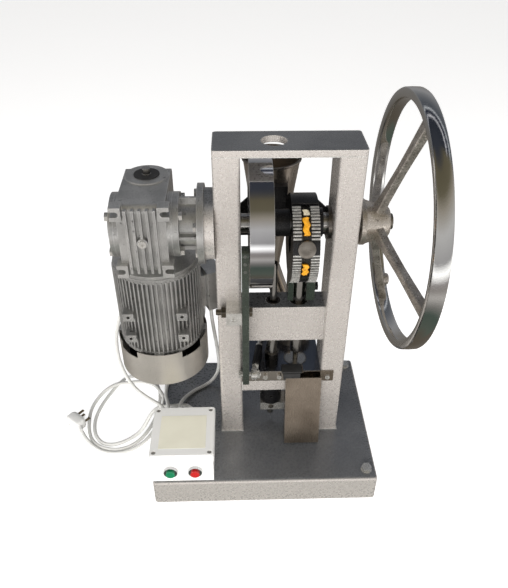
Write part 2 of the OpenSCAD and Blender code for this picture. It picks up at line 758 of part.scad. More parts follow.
// The mains cord, from the strain relief to the plug
MAINS = [[-108, -11.5, 77], [-108, -4.5, 77], [-109, 3, 76.5], [-112.5, 11, 75], [-119, 18.5, 72],
  [-128, 24, 68.5], [-140, 27, 65], [-154, 27.3, 63.3], [-166, 26.5, 63.3], [-177, 25.5, 61.4],
  [-186.5, 24, 55.8], [-194, 21.5, 47], [-201.5, 18.5, 34], [-209, 14.5, 21], [-217, 9.5, 12],
  [-227, 3, 6.5], [-239, -5, 4.3], [-255, -14, 4], [-273, -18, 4], [-291, -13, 4], [-305, 2, 4],
  [-313, 22, 4], [-316, 48, 4], [-313, 74, 4], [-306, 100, 4], [-295, 128, 4], [-280, 157, 4],
  [-262, 174, 4], [-236, 176, 4], [-211, 163, 4], [-194, 138, 4], [-188, 108, 4], [-188, 78, 4],
  [-193, 48, 4], [-202, 20, 4], [-216, -5, 4], [-234, -22, 4], [-255, -30, 4], [-276, -29, 4],
  [-297, -21, 4], [-313, -5, 4], [-323, 18, 4], [-328, 44, 4], [-330, 70, 4], [-326, 94, 5],
  [-316, 115, 8], [-301, 132, 12], [-282, 145, 12], [-260, 152, 8], [-236, 154, 8],
  [-212, 146, 10], [-194, 129, 12], [-180, 104, 9], [-179, 78, 4], [-183, 46, 4], [-193, 14, 4],
  [-209, -13, 4], [-230, -31, 4], [-254, -39, 4], [-281, -37, 4], [-305, -24, 5], [-324, -6, 9],
  [-334.1, 8.4, 13]];
// The three motor cables, from the terminal box to the control box
CABLE_A = [[-93.17, 135.1, 329], [-97.4, 144.16, 329], [-106, 157.5, 327.5], [-122, 169.5, 321],
  [-146, 177, 312], [-180, 174, 296], [-212, 161, 272], [-238, 142, 240], [-254, 120, 205],
  [-258, 98, 175], [-252, 74, 148], [-238, 50, 127], [-221, 33, 112], [-204, 20.5, 104],
  [-188, 9.3, 101.5], [-172, -2, 101], [-165, -9, 101], [-161.2, -16.8, 101], [-160, -23, 101],
  [-160, -28.5, 101]];
CABLE_V = [[-81.76, 110.63, 278], [-81.76, 110.63, 266], [-82.5, 112, 248], [-85, 118, 220],
  [-95, 130, 160], [-115, 138, 108], [-140, 130, 76], [-158, 108, 65], [-166, 84, 63],
  [-166, 58, 63], [-162, 40, 67], [-158, 22, 73], [-153, -2, 78], [-150.5, -14, 79],
  [-150, -22, 79], [-150, -28.5, 79]];
CABLE_B = [[-66.55, 78, 278], [-66.55, 78, 266], [-66, 79.5, 248], [-64, 84, 220], [-59, 93, 160],
  [-57, 99, 125], [-58, 100, 101], [-63, 98, 82], [-74, 92, 68.5], [-89, 83, 63.5],
  [-106, 71, 63.5], [-119, 56, 66], [-128, 40, 70], [-132, 22, 77], [-132.5, 4, 85],
  [-132, -11, 89], [-132, -20, 89], [-132, -28.5, 89]];

module mains_cord() color("white") tube(smooth(MAINS, 1), cord_r, [0, 0, 1]);
module motor_cables() color("white") {
  tube(smooth(CABLE_A, 2), cable_r, [0, 0.3, 1]);
  tube(smooth(CABLE_V, 2), cable_r, [1, 0, 0]);
  tube(smooth(CABLE_B, 2), cable_r, [1, -1, 0]);
}

module cable_glands() color("whitesmoke") {
  for (i = [0:len(glands) - 1]) translate([glands[i][0], rear_y, base_top + glands[i][1]])
    rotate([-90, 0, 0]) {
      translate([0, 0, -box_wall]) cylinder(r = gland_r, h = box_wall);
      hex(14, nut_l);
      translate([0, 0, nut_l]) cylinder(r1 = 6, r2 = i == 3 ? 4.5 : 5, h = i == 3 ? relief_l : 5);
    }
  at_motor() rotate([0, 0, 25]) {
    for (y = [-12, 24]) translate([motor_r + 17, y, motor_z0 + 44]) rotate([180, 0, 0]) {
      hex(14, nut_l);
      translate([0, 0, nut_l]) cylinder(r1 = 6, r2 = 5, h = 5);
    }
    translate([motor_r + 17, 40, motor_z0 + 84]) rotate([-90, 0, 0]) {
      hex(14, nut_l);
      translate([0, 0, nut_l]) cylinder(r1 = 6, r2 = 5, h = 5);
    }
  }
}

plug_at = [-352, 34];
plug_turn = -40;
module mains_plug() color("white") translate([plug_at[0], plug_at[1], 0]) rotate([0, 0, plug_turn]) {
  translate([0, 0, 2]) linear_extrude(26) polygon([[-20, -8], [14, -12], [19, -8], [19, 4],
    [14, 12], [-14, 12], [-20, 7]]);
  rod_between([18, -5, 14], [30, -8, 13], 5);
  for (x = [-8, 8], z = [9, 21]) if (x < 0 || z < 20) block(x - 3, x + 3, 12, 28, z - 0.8, z + 0.8);
}

// ---- Main shaft and what turns with it ----
module main_shaft() color("gainsboro") {
  rod_x(shaft_end_r, gear_x - cover_x - 8, flange_face, 0, shaft_z);
  rod_x(shaft_r, flange_face, frame_r + 3, 0, shaft_z);
  rod_x(shaft_end_r, frame_r + 3, hub_x1 + 6, 0, shaft_z);
}

groove = [-pin_y - 22, -pin_y + 14.5];
lift_groove = [60, 91.5];
module cam_drum() color("silver") difference() {
  rod_x(drum_r, drum_x0, drum_x1, 0, shaft_z);
  rod_x(shaft_r, drum_x0 - 1, drum_x1 + 1, 0, shaft_z);
  difference() {
    rod_x(groove[1], drum_x0 - 1, drum_x0 + groove_t, 0, shaft_z);
    rod_x(groove[0], drum_x0 - 2, drum_x0 + groove_t + 1, 0, shaft_z);
  }
  difference() {
    rod_x(lift_groove[1], drum_x1 - groove_t, drum_x1 + 1, 0, shaft_z);
    rod_x(lift_groove[0], drum_x1 - groove_t - 1, drum_x1 + 2, 0, shaft_z);
  }
}

sleeve_r = 21.5;
module shaft_sleeve() color("black") difference() {
  union() {
    rod_x(sleeve_r, drum_x1, ring_x0 - gap, 0, shaft_z);
    rod_x(sleeve_r + 1, ring_x1 + gap, ring_x1 + 9, 0, shaft_z);
  }
  rod_x(shaft_r, drum_x1 - 1, ring_x1 + 10, 0, shaft_z);
}

cheek_t = 4;
eccentric_e = 5;
module eccentric() color("dimgray") difference() {
  rod_x(shaft_r + eccentric_e + 4, ring_x0 + cheek_t + gap, ring_x1 - cheek_t - gap, 0,
    shaft_z - eccentric_e);
  rod_x(shaft_r, ring_x0, ring_x1, 0, shaft_z);
}

teeth = 30;
module worm_wheel() color("peru") gear_frame() difference() {
  union() {
    rotate([90, 0, 90]) translate([0, 0, -10]) linear_extrude(20) polygon([for (i = [0:teeth - 1],
      k = [0:3]) let (a = (i + k / 4) * 360 / teeth, r = k < 2 ? 38 : 36) [r * cos(a), r * sin(a)]]);
    rod_x(wheel_hub_r, -cover_x + 1, cover_x - 1);
  }
  rod_x(shaft_end_r, -cover_x, cover_x);
}

hub_x0 = frame_r + 3;
hub_x1 = frame_r + 50;
rim_x1 = frame_r + 86;
rim_x0 = rim_x1 - rim_w;
rim_t = 16;
spoke_w = 19;
spoke_t = 13;
spoke_a = 15;
handle_a = 294;
handle_r = 4;
rim_in = wheel_r - rim_t;
module wheel_rim() color("silver") translate([0, 0, shaft_z]) difference() {
  union() {
    rotate([0, 90, 0]) rotate_extrude($fn = 96) translate([wheel_r - rim_t / 2, (rim_x0 + rim_x1) / 2])
      round_rect(rim_t, rim_w, 3);
    rotate([handle_a, 0, 0]) rod_x(11, rim_x0 + 2, rim_x1, rim_in - 9, 0);
  }
  rotate([handle_a, 0, 0]) rod_x(handle_r, rim_x1 - 18, rim_x1 + 1, rim_in - 9, 0);
}
module wheel_spokes() color("lightgray") translate([0, 0, shaft_z]) difference() {
  union() {
    rod_x(36, hub_x0, hub_x0 + 8);
    translate([hub_x0 + 8, 0, 0]) rotate([0, 90, 0])
      cylinder(r1 = 35, r2 = 23, h = hub_x1 - hub_x0 - 8);
    intersection() {
      for (k = [0:3]) rotate([spoke_a + 90 * k, 0, 0]) spoke();
      rod_x(rim_in, hub_x0, rim_x1);
    }
  }
  rod_x(shaft_end_r, hub_x0 - 1, hub_x1 + 1);
}
module spoke() {
  run = wheel_r - rim_t - 20;
  rise = (rim_x0 + rim_x1) / 2 - (hub_x0 + 27);
  translate([hub_x0 + 27, 20, 0]) rotate([0, 0, -atan2(rise, run)])
    block(-spoke_t / 2, spoke_t / 2, 0, norm([run, rise]) + 6, -spoke_w / 2, spoke_w / 2);
}

// ---- Worm, rotor and fan ----
stub_r = worm_r - 0.5;
module worm_shaft() color("gainsboro") gear_frame() translate([0, worm_y, 0]) {
  rod_z(worm_r, -gear_half - 1, gear_half + 2);
  rod_z(stub_r, gear_half + 1, gear_half + worm_top);
  rod_z(worm_r + 4.5, -26, 26);
}
module motor_rotor() color("gray") at_motor() {
  rod_z(rotor_shaft_r, cowl_z0 + 14, shaft_z - gear_half - 1);
  rod_z(rotor_r, motor_z0 + shield_t + 8, motor_z1 - shield_t - 8);
}
module cooling_fan() color("black") at_motor() difference() {
  union() {
    rod_z(66, cowl_z0 + 20, cowl_z0 + 23);
    rod_z(22, cowl_z0 + 12, cowl_z0 + 36);
    for (a = [0:45:315]) rotate([0, 0, a]) block(18, 62, -1.5, 1.5, cowl_z0 + 22, cowl_z0 + 44);
  }
  rod_z(rotor_shaft_r, cowl_z0 + 10, cowl_z0 + 40);
}

// ---- Upper punch and what slides with it ----
tooth_deg = 4;
tooth_h = 2;
teeth_from = -60;
teeth_to = 76;
ring_bore = 57.5;
pin_up = 17.5;
pin_half = 9;
function ring_rad(a) = a > teeth_from && a < teeth_to && abs(a - pin_up) > pin_half
  && (a % tooth_deg + tooth_deg) % tooth_deg >= tooth_deg / 2 ? ring_r - tooth_h : ring_r;

module toothed_ring() color("dimgray") translate([0, 0, ring_z]) difference() {
  rotate([90, 0, 90]) translate([0, 0, ring_x0]) linear_extrude(ring_w)
    polygon([for (a = [-90:1:269]) let (r = ring_rad(a)) [-r * cos(a), r * sin(a)]]);
  rod_x(ring_bore, ring_x0 + cheek_t, ring_x1 - cheek_t);
  for (x = [ring_x0 - 1, ring_x1 - cheek_t - 1]) {
    rod_x(shaft_r + 0.6, x, x + cheek_t + 2, 0, ring_drop);
    rod_x(shaft_r + 0.6, x, x + cheek_t + 2, 0, ring_drop - ram_stroke);
    block(x, x + cheek_t + 2, -shaft_r - 0.6, shaft_r + 0.6, ring_drop - ram_stroke, ring_drop);
  }
  rotate([-pin_up, 0, 0]) rod_y(6, -ring_r - 1, -ring_bore + 1, ram_x);
}

module ring_pin() color("gainsboro") translate([ram_x, 0, ring_z]) rotate([-pin_up, 0, 0]) {
  rod_y(6, -ring_r - 1, -ring_bore - 2);
  rod_y(13.5, -ring_r - 6, -ring_r - 0.05);
}

fork_x = [ram_x - 20, ram_x + 25];
fork_z0 = beam_z1 + 8;
fork_bolt_z = fork_z0 + 20;
fork_bolt_r = 4;
rod_top = ring_z - ring_r - 3;
module ram_fork() color("darkslategray") difference() {
  block(fork_x[0], fork_x[1], -14, 14, fork_z0, ring_z - ring_r + 4);
  rod_x(ring_r, fork_x[0] - 1, fork_x[1] + 1, 0, ring_z);
  block(ram_x - ram_r - gap, ram_x + ram_r + gap, -15, 15, fork_z0 - 1, rod_top);
  rod_x(fork_bolt_r, fork_x[0] - 1, fork_x[1] + 1, 0, fork_bolt_z);
}
module fork_bolt() color("gray") {
  rod_x(fork_bolt_r, fork_x[0], fork_x[1], 0, fork_bolt_z);
  translate([fork_x[1], 0, fork_bolt_z]) rotate([0, 90, 0]) hex(13, 6);
}
punch_top = table_z1 + 21;
module ram_rod() color("gainsboro") difference() {
  rod_z(ram_r, punch_top, rod_top, ram_x);
  rod_z(6, punch_top - 1, punch_top + 15, ram_x);
  rod_x(fork_bolt_r, ram_x - 20, ram_x + 20, 0, fork_bolt_z);
}
module upper_punch() color("gainsboro") {
  rod_z(punch_r, table_z1 + gap, punch_top, ram_x);
  rod_z(6, punch_top, punch_top + 15, ram_x);
}

// ---- Lower punch and what lifts with it ----
lift_top = base_top + 364;
yoke_z = [base_top + 36, base_top + 54];
lift_low = base_top + 15;
lift_cam_z = lift_top - 7;
module lift_rod() color("gainsboro") {
  rod_z(lift_r, yoke_z[0], beam_z1 - 4, lift_x);
  rod_z(lift_top_r, beam_z1 - 4, lift_top, lift_x);
  rod_z(6, lift_low, yoke_z[0], lift_x);
  rod_x(cam_r, drum_x1 - groove_t + gap, drum_x1 - gap, 0, lift_cam_z);
  rod_x(4, drum_x1 - gap - 1, lift_x, 0, lift_cam_z);
}
module lift_yoke() color("lightgray") difference() {
  block(lift_x - 20, ram_x + 14, -16, 16, yoke_z[0], yoke_z[1]);
  rod_z(lift_r, yoke_z[0] - 1, yoke_z[1] + 1, lift_x);
  rod_z(punch_body_r, yoke_z[0] + 4, yoke_z[1] + 1, ram_x);
}
module lower_punch() color("gainsboro") {
  rod_z(punch_body_r, yoke_z[0] + 4, table_z1 - 18 - 14 - 4, ram_x);
  rod_z(punch_r, table_z1 - 36, table_z1 - lift_stroke, ram_x);
}
nut_z = [base_top + 55, base_top + 96];
module adjusting_nut() color("black") difference() {
  rod_z(20, nut_z[0], nut_z[1], lift_x);
  rod_z(lift_r + run_gap, nut_z[0] - 1, nut_z[1] + 1, lift_x);
  for (a = [0:60:300]) translate([lift_x, 0, 0]) rotate([0, 0, a + 30])
    rod_x(2.5, 16, 21, 0, nut_z[0] + 20);
}

base_cover();
rubber_feet();
base_bolts();
left_upright();
right_upright();
top_plate();
upper_beam();
lower_beam();
die_table();
die();
plain_bushes();
frame_boss();
gearbox_flange();
gearbox_housing();
gearbox_cover();
gearbox_bolts();
worm_seal();
motor_flange();
motor_body();
fan_cowl();
terminal_box();
hopper_bracket();
hopper();
hopper_spout();
pivot_block();
pivot_pin();
chute();
cap_screws();
control_box();
control_lid();
button_bezels();
cable_glands();
motor_cables();
mains_cord();
mains_plug();
main_shaft();
cam_drum();
shaft_sleeve();
eccentric();
worm_wheel();
wheel_rim();
wheel_spokes();
worm_shaft();
motor_rotor();
cooling_fan();
toothed_ring();
ring_pin();
ram_fork();
fork_bolt();
ram_rod();
upper_punch();
lift_rod();
lift_yoke();
lower_punch();
adjusting_nut();
feed_lever();
feed_link();
feed_shoe();
green_button();
red_button();
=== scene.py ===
"""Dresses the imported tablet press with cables, fittings, finishes, camera and light."""

import logging
import math
from dataclasses import dataclass, field
from enum import Enum

import bpy
from mathutils import Matrix, Vector

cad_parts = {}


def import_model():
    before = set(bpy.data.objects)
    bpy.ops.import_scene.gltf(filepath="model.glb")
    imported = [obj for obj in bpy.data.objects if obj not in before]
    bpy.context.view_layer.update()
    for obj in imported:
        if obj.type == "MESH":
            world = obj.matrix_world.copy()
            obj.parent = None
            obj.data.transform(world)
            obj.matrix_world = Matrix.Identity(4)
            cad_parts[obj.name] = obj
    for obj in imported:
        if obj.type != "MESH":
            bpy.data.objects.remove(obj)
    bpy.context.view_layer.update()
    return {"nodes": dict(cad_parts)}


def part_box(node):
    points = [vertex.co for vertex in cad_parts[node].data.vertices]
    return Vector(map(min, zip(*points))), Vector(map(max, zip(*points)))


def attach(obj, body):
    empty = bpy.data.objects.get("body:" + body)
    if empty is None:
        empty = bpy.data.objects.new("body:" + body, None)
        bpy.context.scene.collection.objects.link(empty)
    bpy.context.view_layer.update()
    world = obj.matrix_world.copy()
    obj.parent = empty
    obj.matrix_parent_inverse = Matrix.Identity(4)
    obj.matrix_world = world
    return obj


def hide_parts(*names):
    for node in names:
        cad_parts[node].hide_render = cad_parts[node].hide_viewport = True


LOG = logging.getLogger("tablet_press")
MM = 0.001
Point = tuple[float, float, float]
Profile = list[tuple[float, float]]
Piece = bpy.types.Object
Socket = bpy.types.NodeSocket
Tree = bpy.types.NodeTree
Route = list[Point]


class Axis(Enum):
    """The way a turned or extruded piece points."""

    X = "x"
    Y = "y"
    Z = "z"
    NEG_Y = "neg_y"

    def turn(self) -> Matrix:
        """Returns the rotation that takes +Z to this axis."""
        quarter = math.pi / 2
        return {
            Axis.X: Matrix.Rotation(quarter, 4, "Y"),
            Axis.Y: Matrix.Rotation(-quarter, 4, "X"),
            Axis.NEG_Y: Matrix.Rotation(quarter, 4, "X"),
            Axis.Z: Matrix.Identity(4),
        }[self]


# ---------------------------------------------------------------- finishes


@dataclass(frozen=True)
class Finish:
    """A surface finish with a broad mottle, a fine grain, outer edges lightened as worn edges and
    as a painted highlight, sides coloured apart from tops as painted light and shade where set, and
    a bump.
    """

    name: str
    colour: Point
    tint: Point
    metal: float = 0.0
    rough: float = 0.4
    rough_span: float = 0.1
    broad: float = 14.0
    grain: float = 420.0
    stretch: Point = (1.0, 1.0, 1.0)
    bump: float = 0.05
    edge: float = 0.0008
    wear_and_glint: float = 0.25
    wear_and_glint_colour: Point = (0.8, 0.8, 0.78)
    coat: float = 0.0
    specks: float = 0.0
    speck_colour: Point = (0.05, 0.045, 0.04)
    glow: float = 0.0
    painted_side_light_colour: Point | None = None

    def material(self) -> bpy.types.Material:
        """Returns the node material of this finish, made once."""
        known = bpy.data.materials.get(self.name)
        if known:
            return known
        made = bpy.data.materials.new(self.name)
        made.use_nodes = True
        tree = made.node_tree
        shader = tree.nodes["Principled BSDF"]
        shader.inputs["Metallic"].default_value = self.metal
        shader.inputs["Coat Weight"].default_value = self.coat
        shader.inputs["Coat Roughness"].default_value = 0.12
        place = self._node(tree, "TexCoord", "Object")
        stretched = self._node(tree, "Mapping", Vector=place, Scale=self.stretch)
        broad = self._noise(tree, place, self.broad, 4.0)
        fine = self._noise(tree, stretched, self.grain, 3.0)
        colour = self._mix(tree, self._ramp(tree, broad, 0.35, 0.65), self.colour, self.tint)
        # Painted light and shade: faces that point sideways or down get a separate colour from
        # faces that point up, standing in for how the lamps fall on them.
        if self.painted_side_light_colour:
            normal = self._node(tree, "NewGeometry", "Normal")
            up = self._ramp(tree, self._node(tree, "SeparateXYZ", "Z", Vector=normal), 0.5, 0.9)
            colour = self._mix(tree, up, self.painted_side_light_colour, colour)
        if self.glow:
            shader.inputs["Emission Color"].default_value = (1.0, 1.0, 1.0, 1.0)
            shader.inputs["Emission Strength"].default_value = self.glow
        if self.specks:
            spots = self._noise(tree, place, self.broad * 4.5, 6.0)
            low = 0.78 - 0.35 * self.specks
            colour = self._mix(tree, self._ramp(tree, spots, low, low + 0.1), colour,
                               self.speck_colour)
        # Painted highlight in part: outer edges are lightened towards a paler colour, partly as
        # worn edges and partly as a painted highlight along them.
        if self.wear_and_glint:
            colour = self._mix(tree, self._edges(tree), colour, self.wear_and_glint_colour)
        tree.links.new(colour, shader.inputs["Base Color"])
        low, high = self.rough - self.rough_span, self.rough + self.rough_span
        rough = self._ramp(tree, fine, 0.3, 0.7, max(0.02, low), min(1.0, high))
        tree.links.new(rough, shader.inputs["Roughness"])
        bump = self._node(tree, "Bump", Strength=self.bump, Distance=0.001, Height=fine,
                          Normal=self._rounded(tree, self.edge))
        tree.links.new(bump, shader.inputs["Normal"])
        return made

    @staticmethod
    def _node(tree: Tree, kind: str, output: int | str = 0, **sockets: object) -> Socket:
        """Adds a shader node and returns one of its outputs.

        Args:
            tree: the node tree.
            kind: the node's type, without its prefix.
            output: the output's name or number.
            **sockets: what each input is linked to or set to.

        Returns:
            The output.
        """
        node = tree.nodes.new("ShaderNode" + kind)
        for name, value in sockets.items():
            if isinstance(value, Socket):
                tree.links.new(value, node.inputs[name])
            else:
                node.inputs[name].default_value = value
        return node.outputs[output]

    @staticmethod
    def _rounded(tree: Tree, radius: float) -> Socket:
        """Returns the normal with the edges rounded."""
        normal = Finish._node(tree, "Bevel", Radius=radius)
        normal.node.samples = 4
        return normal

    def _edges(self, tree: Tree) -> Socket:
        """Returns a mask that is 0 on flat faces and rises to the finish's edge-lightening amount
        at outer edges, which lightens them as worn edges and as a painted highlight.
        """
        dot = tree.nodes.new("ShaderNodeVectorMath")
        dot.operation = "DOT_PRODUCT"
        tree.links.new(self._rounded(tree, self.edge * 1.6), dot.inputs[0])
        tree.links.new(self._node(tree, "NewGeometry", "Normal"), dot.inputs[1])
        return self._ramp(tree, dot.outputs["Value"], 0.99, 0.85, 0.0, self.wear_and_glint)

    @staticmethod
    def _noise(tree: Tree, at: Socket, scale: float, detail: float) -> Socket:
        """Returns the grey output of a noise of this scale at these coordinates."""
        return Finish._node(tree, "TexNoise", "Fac", Scale=scale, Detail=detail, Vector=at)

    @staticmethod
    def _ramp(tree: Tree, value: Socket, low: float, high: float,
              out_low: float = 0.0, out_high: float = 1.0) -> Socket:
        """Returns value spread from low..high to out_low..out_high, clamped."""
        ends = {"From Min": low, "From Max": high, "To Min": out_low, "To Max": out_high}
        return Finish._node(tree, "MapRange", "Result", Value=value, **ends)

    @staticmethod
    def _mix(tree: Tree, factor: Socket, first: Point | Socket, second: Point | Socket) -> Socket:
        """Returns a colour between first and second."""
        mix = tree.nodes.new("ShaderNodeMix")
        mix.data_type = "RGBA"
        tree.links.new(factor, mix.inputs["Factor"])
        for socket, colour in ((mix.inputs[6], first), (mix.inputs[7], second)):
            if isinstance(colour, tuple):
                socket.default_value = (*colour, 1.0)
            else:
                tree.links.new(colour, socket)
        return mix.outputs[2]


# The frame paint's tops take the darker colour as painted shade and its sides the much lighter
# colour as painted light; its lightened edges are partly a painted highlight.
PAINT = Finish("silver_paint", (0.25, 0.255, 0.262), (0.17, 0.175, 0.185), 0.6, 0.30, 0.09,
               broad=9.0, grain=240.0, bump=0.16, wear_and_glint=0.55, edge=0.0016, specks=0.05,
               speck_colour=(0.33, 0.33, 0.33), wear_and_glint_colour=(0.90, 0.88, 0.84),
               painted_side_light_colour=(0.60, 0.565, 0.535))
WELD = Finish("painted_weld", (0.66, 0.645, 0.62), (0.56, 0.545, 0.52), 0.5, 0.3, 0.06,
              broad=120.0, grain=500.0, bump=0.5, wear_and_glint=0.2)
COWL = Finish("cowl_paint", (0.58, 0.55, 0.50), (0.47, 0.445, 0.405), 0.7, 0.32, 0.06,
              broad=12.0, grain=1400.0, bump=0.03, specks=0.1, speck_colour=(0.2, 0.19, 0.17))
CAST_ALU = Finish("cast_aluminium", (0.56, 0.555, 0.54), (0.38, 0.378, 0.37), 0.85, 0.34, 0.1,
                  broad=26.0, grain=900.0, bump=0.22, edge=0.0014, wear_and_glint=0.8, specks=0.4,
                  speck_colour=(0.07, 0.07, 0.07), wear_and_glint_colour=(0.80, 0.80, 0.79))
CHROME = Finish("polished_chrome", (0.66, 0.66, 0.67), (0.56, 0.56, 0.57), 1.0, 0.09, 0.05,
                broad=10.0, grain=520.0, stretch=(6.0, 0.15, 0.15), bump=0.01, wear_and_glint=0.6,
                edge=0.0012, wear_and_glint_colour=(0.92, 0.92, 0.92))
ROD = Finish("ground_rod", (0.50, 0.49, 0.47), (0.36, 0.35, 0.335), 1.0, 0.22, 0.06,
             broad=18.0, grain=700.0, stretch=(1.0, 1.0, 0.1), bump=0.02, specks=0.2)
ZINC = Finish("zinc_plate", (0.76, 0.75, 0.72), (0.58, 0.57, 0.54), 0.85, 0.24, 0.09,
              broad=60.0, grain=900.0, bump=0.05, wear_and_glint=0.5, edge=0.0005, specks=0.3,
              speck_colour=(0.22, 0.2, 0.17))
NUT = Finish("passivated_nut", (0.22, 0.19, 0.15), (0.15, 0.13, 0.10), 1.0, 0.34, 0.08,
             broad=60.0, grain=900.0, bump=0.06, wear_and_glint=0.5, specks=0.3)
CAST_IRON = Finish("plated_casting", (0.66, 0.615, 0.56), (0.38, 0.345, 0.305), 0.95, 0.34, 0.14,
                   broad=60.0, grain=300.0, bump=1.0, edge=0.002, wear_and_glint=0.5, specks=0.45,
                   speck_colour=(0.07, 0.06, 0.05), wear_and_glint_colour=(0.85, 0.82, 0.77))
HUB = Finish("hub_casting", (0.74, 0.68, 0.61), (0.52, 0.47, 0.41), 0.95, 0.32, 0.12,
             broad=40.0, grain=420.0, bump=0.6, edge=0.002, wear_and_glint=0.4, specks=0.35,
             speck_colour=(0.14, 0.12, 0.10))
RIM = Finish("polished_rim", (0.66, 0.66, 0.65), (0.52, 0.52, 0.51), 1.0, 0.10, 0.05,
             broad=5.0, grain=380.0, bump=0.04, wear_and_glint=0.0, specks=0.25,
             speck_colour=(0.16, 0.15, 0.13))
BLACK = Finish("black_oxide", (0.012, 0.012, 0.014), (0.028, 0.027, 0.027), 0.6, 0.32, 0.1,
               broad=30.0, grain=600.0, bump=0.05, wear_and_glint=0.3, wear_and_glint_colour=(0.2, 0.19, 0.18),
               specks=0.2, speck_colour=(0.07, 0.065, 0.06))
DARK_STEEL = Finish("oiled_steel", (0.075, 0.10, 0.082), (0.045, 0.058, 0.048), 0.95, 0.24, 0.1,
                    broad=30.0, grain=520.0, stretch=(1.0, 1.0, 0.3), bump=0.06, wear_and_glint=0.4,
                    wear_and_glint_colour=(0.45, 0.44, 0.42), specks=0.3, speck_colour=(0.2, 0.19, 0.17))
LEVER = Finish("lever_bar", (0.115, 0.135, 0.115), (0.075, 0.09, 0.076), 0.85, 0.3, 0.1,
               broad=20.0, grain=480.0, bump=0.05, wear_and_glint=0.45, wear_and_glint_colour=(0.42, 0.42, 0.4))
LEVER_MARK = Finish("rubbed_mark", (0.20, 0.205, 0.19), (0.13, 0.135, 0.125), 0.9, 0.34, 0.08,
                    broad=90.0, grain=700.0, bump=0.06, wear_and_glint=0.2)
RING_STEEL = Finish("ring_steel", (0.075, 0.073, 0.07), (0.03, 0.03, 0.03), 1.0, 0.3, 0.12,
                    broad=110.0, grain=800.0, bump=0.2, edge=0.0006, wear_and_glint=0.5, specks=0.5,
                    speck_colour=(0.2, 0.19, 0.18), wear_and_glint_colour=(0.6, 0.59, 0.57))
TOOTH = Finish("bright_tooth", (0.84, 0.83, 0.80), (0.52, 0.51, 0.49), 0.8, 0.34, 0.1,
               broad=240.0, grain=900.0, bump=0.15, edge=0.0006, wear_and_glint=0.7, specks=0.55,
               speck_colour=(0.03, 0.03, 0.028), wear_and_glint_colour=(0.9, 0.89, 0.86))
CHUTE = Finish("bare_stainless", (0.27, 0.225, 0.18), (0.165, 0.135, 0.105), 0.9, 0.30, 0.08,
               broad=16.0, grain=300.0, stretch=(4.0, 0.3, 0.3), bump=0.03, wear_and_glint=0.55,
               wear_and_glint_colour=(0.72, 0.67, 0.60), specks=0.15, speck_colour=(0.3, 0.26, 0.21))
HOPPER = Finish("polished_stainless", (0.60, 0.535, 0.47), (0.36, 0.315, 0.27), 0.95, 0.2, 0.05,
                broad=9.0, grain=120.0, stretch=(0.3, 0.3, 0.3), bump=0.008, wear_and_glint=0.2)
# The table's top keeps the dark blue colour and its front and sides take the pale colour: painted
# light and shade by facing.
TABLE = Finish("polished_table", (0.13, 0.145, 0.18), (0.16, 0.17, 0.195), 1.0, 0.16, 0.05,
               broad=18.0, grain=260.0, stretch=(0.3, 3.0, 1.0), bump=0.02, wear_and_glint=0.5,
               specks=0.2, speck_colour=(0.3, 0.29, 0.28), painted_side_light_colour=(0.52, 0.48, 0.43))
BUSH = Finish("oiled_bush", (0.20, 0.18, 0.16), (0.12, 0.11, 0.10), 1.0, 0.26, 0.07,
              broad=50.0, grain=700.0, bump=0.03, specks=0.3)
GREASE = Finish("bearing_grease", (0.78, 0.36, 0.02), (0.50, 0.22, 0.01), 0.0, 0.18, 0.08,
                broad=160.0, grain=500.0, bump=0.5, wear_and_glint=0.0, coat=0.6)
OLD_GREASE = Finish("pale_grease", (0.62, 0.56, 0.42), (0.40, 0.36, 0.27), 0.0, 0.2, 0.08,
                    broad=200.0, grain=500.0, bump=0.5, wear_and_glint=0.0, coat=0.6)
WHITE = Finish("white_plastic", (0.80, 0.80, 0.785), (0.75, 0.75, 0.74), 0.0, 0.32, 0.06,
               broad=8.0, grain=1200.0, bump=0.035, wear_and_glint=0.2, wear_and_glint_colour=(0.92, 0.92, 0.91),
               specks=0.08, speck_colour=(0.5, 0.49, 0.47), coat=0.15)
SHEATH = Finish("white_sheath", (0.74, 0.74, 0.72), (0.66, 0.66, 0.64), 0.0, 0.42, 0.06,
                broad=20.0, grain=900.0, bump=0.04, wear_and_glint=0.0, specks=0.15,
                speck_colour=(0.42, 0.41, 0.39))
STICKER = Finish("plain_sticker", (0.80, 0.78, 0.66), (0.76, 0.74, 0.62), 0.0, 0.36, 0.04,
                 broad=30.0, grain=1500.0, bump=0.02, wear_and_glint=0.3, edge=0.0004,
                 wear_and_glint_colour=(0.9, 0.89, 0.84))
GREEN = Finish("green_button", (0.006, 0.20, 0.085), (0.005, 0.15, 0.065), 0.0, 0.2, 0.05,
               broad=60.0, grain=1500.0, bump=0.02, wear_and_glint=0.15, coat=0.6,
               wear_and_glint_colour=(0.2, 0.5, 0.36))
RED = Finish("red_button", (0.48, 0.010, 0.010), (0.36, 0.008, 0.008), 0.0, 0.2, 0.05,
             broad=60.0, grain=1500.0, bump=0.02, wear_and_glint=0.15, coat=0.6,
             wear_and_glint_colour=(0.7, 0.3, 0.28))
RUBBER = Finish("black_rubber", (0.014, 0.014, 0.014), (0.024, 0.024, 0.024), 0.0, 0.58, 0.08,
                broad=40.0, grain=900.0, bump=0.12, wear_and_glint=0.1, wear_and_glint_colour=(0.1, 0.1, 0.1))
BRONZE = Finish("bearing_bronze", (0.50, 0.30, 0.13), (0.38, 0.22, 0.09), 1.0, 0.3, 0.08,
                broad=60.0, grain=700.0, bump=0.04, specks=0.2)
BLADE = Finish("plug_blades", (0.42, 0.33, 0.2), (0.3, 0.23, 0.14), 1.0, 0.28, 0.08,
               broad=90.0, grain=900.0, bump=0.03, wear_and_glint=0.4)
PIN_FACE = Finish("turned_face", (0.42, 0.385, 0.34), (0.26, 0.235, 0.205), 1.0, 0.34, 0.08,
                  broad=60.0, grain=900.0, bump=0.03, wear_and_glint=0.3)
FLOOR = Finish("studio_floor", (0.92, 0.92, 0.92), (0.91, 0.91, 0.91), 0.0, 0.8, 0.05,
               broad=1.5, grain=40.0, bump=0.0, wear_and_glint=0.0, glow=0.62)

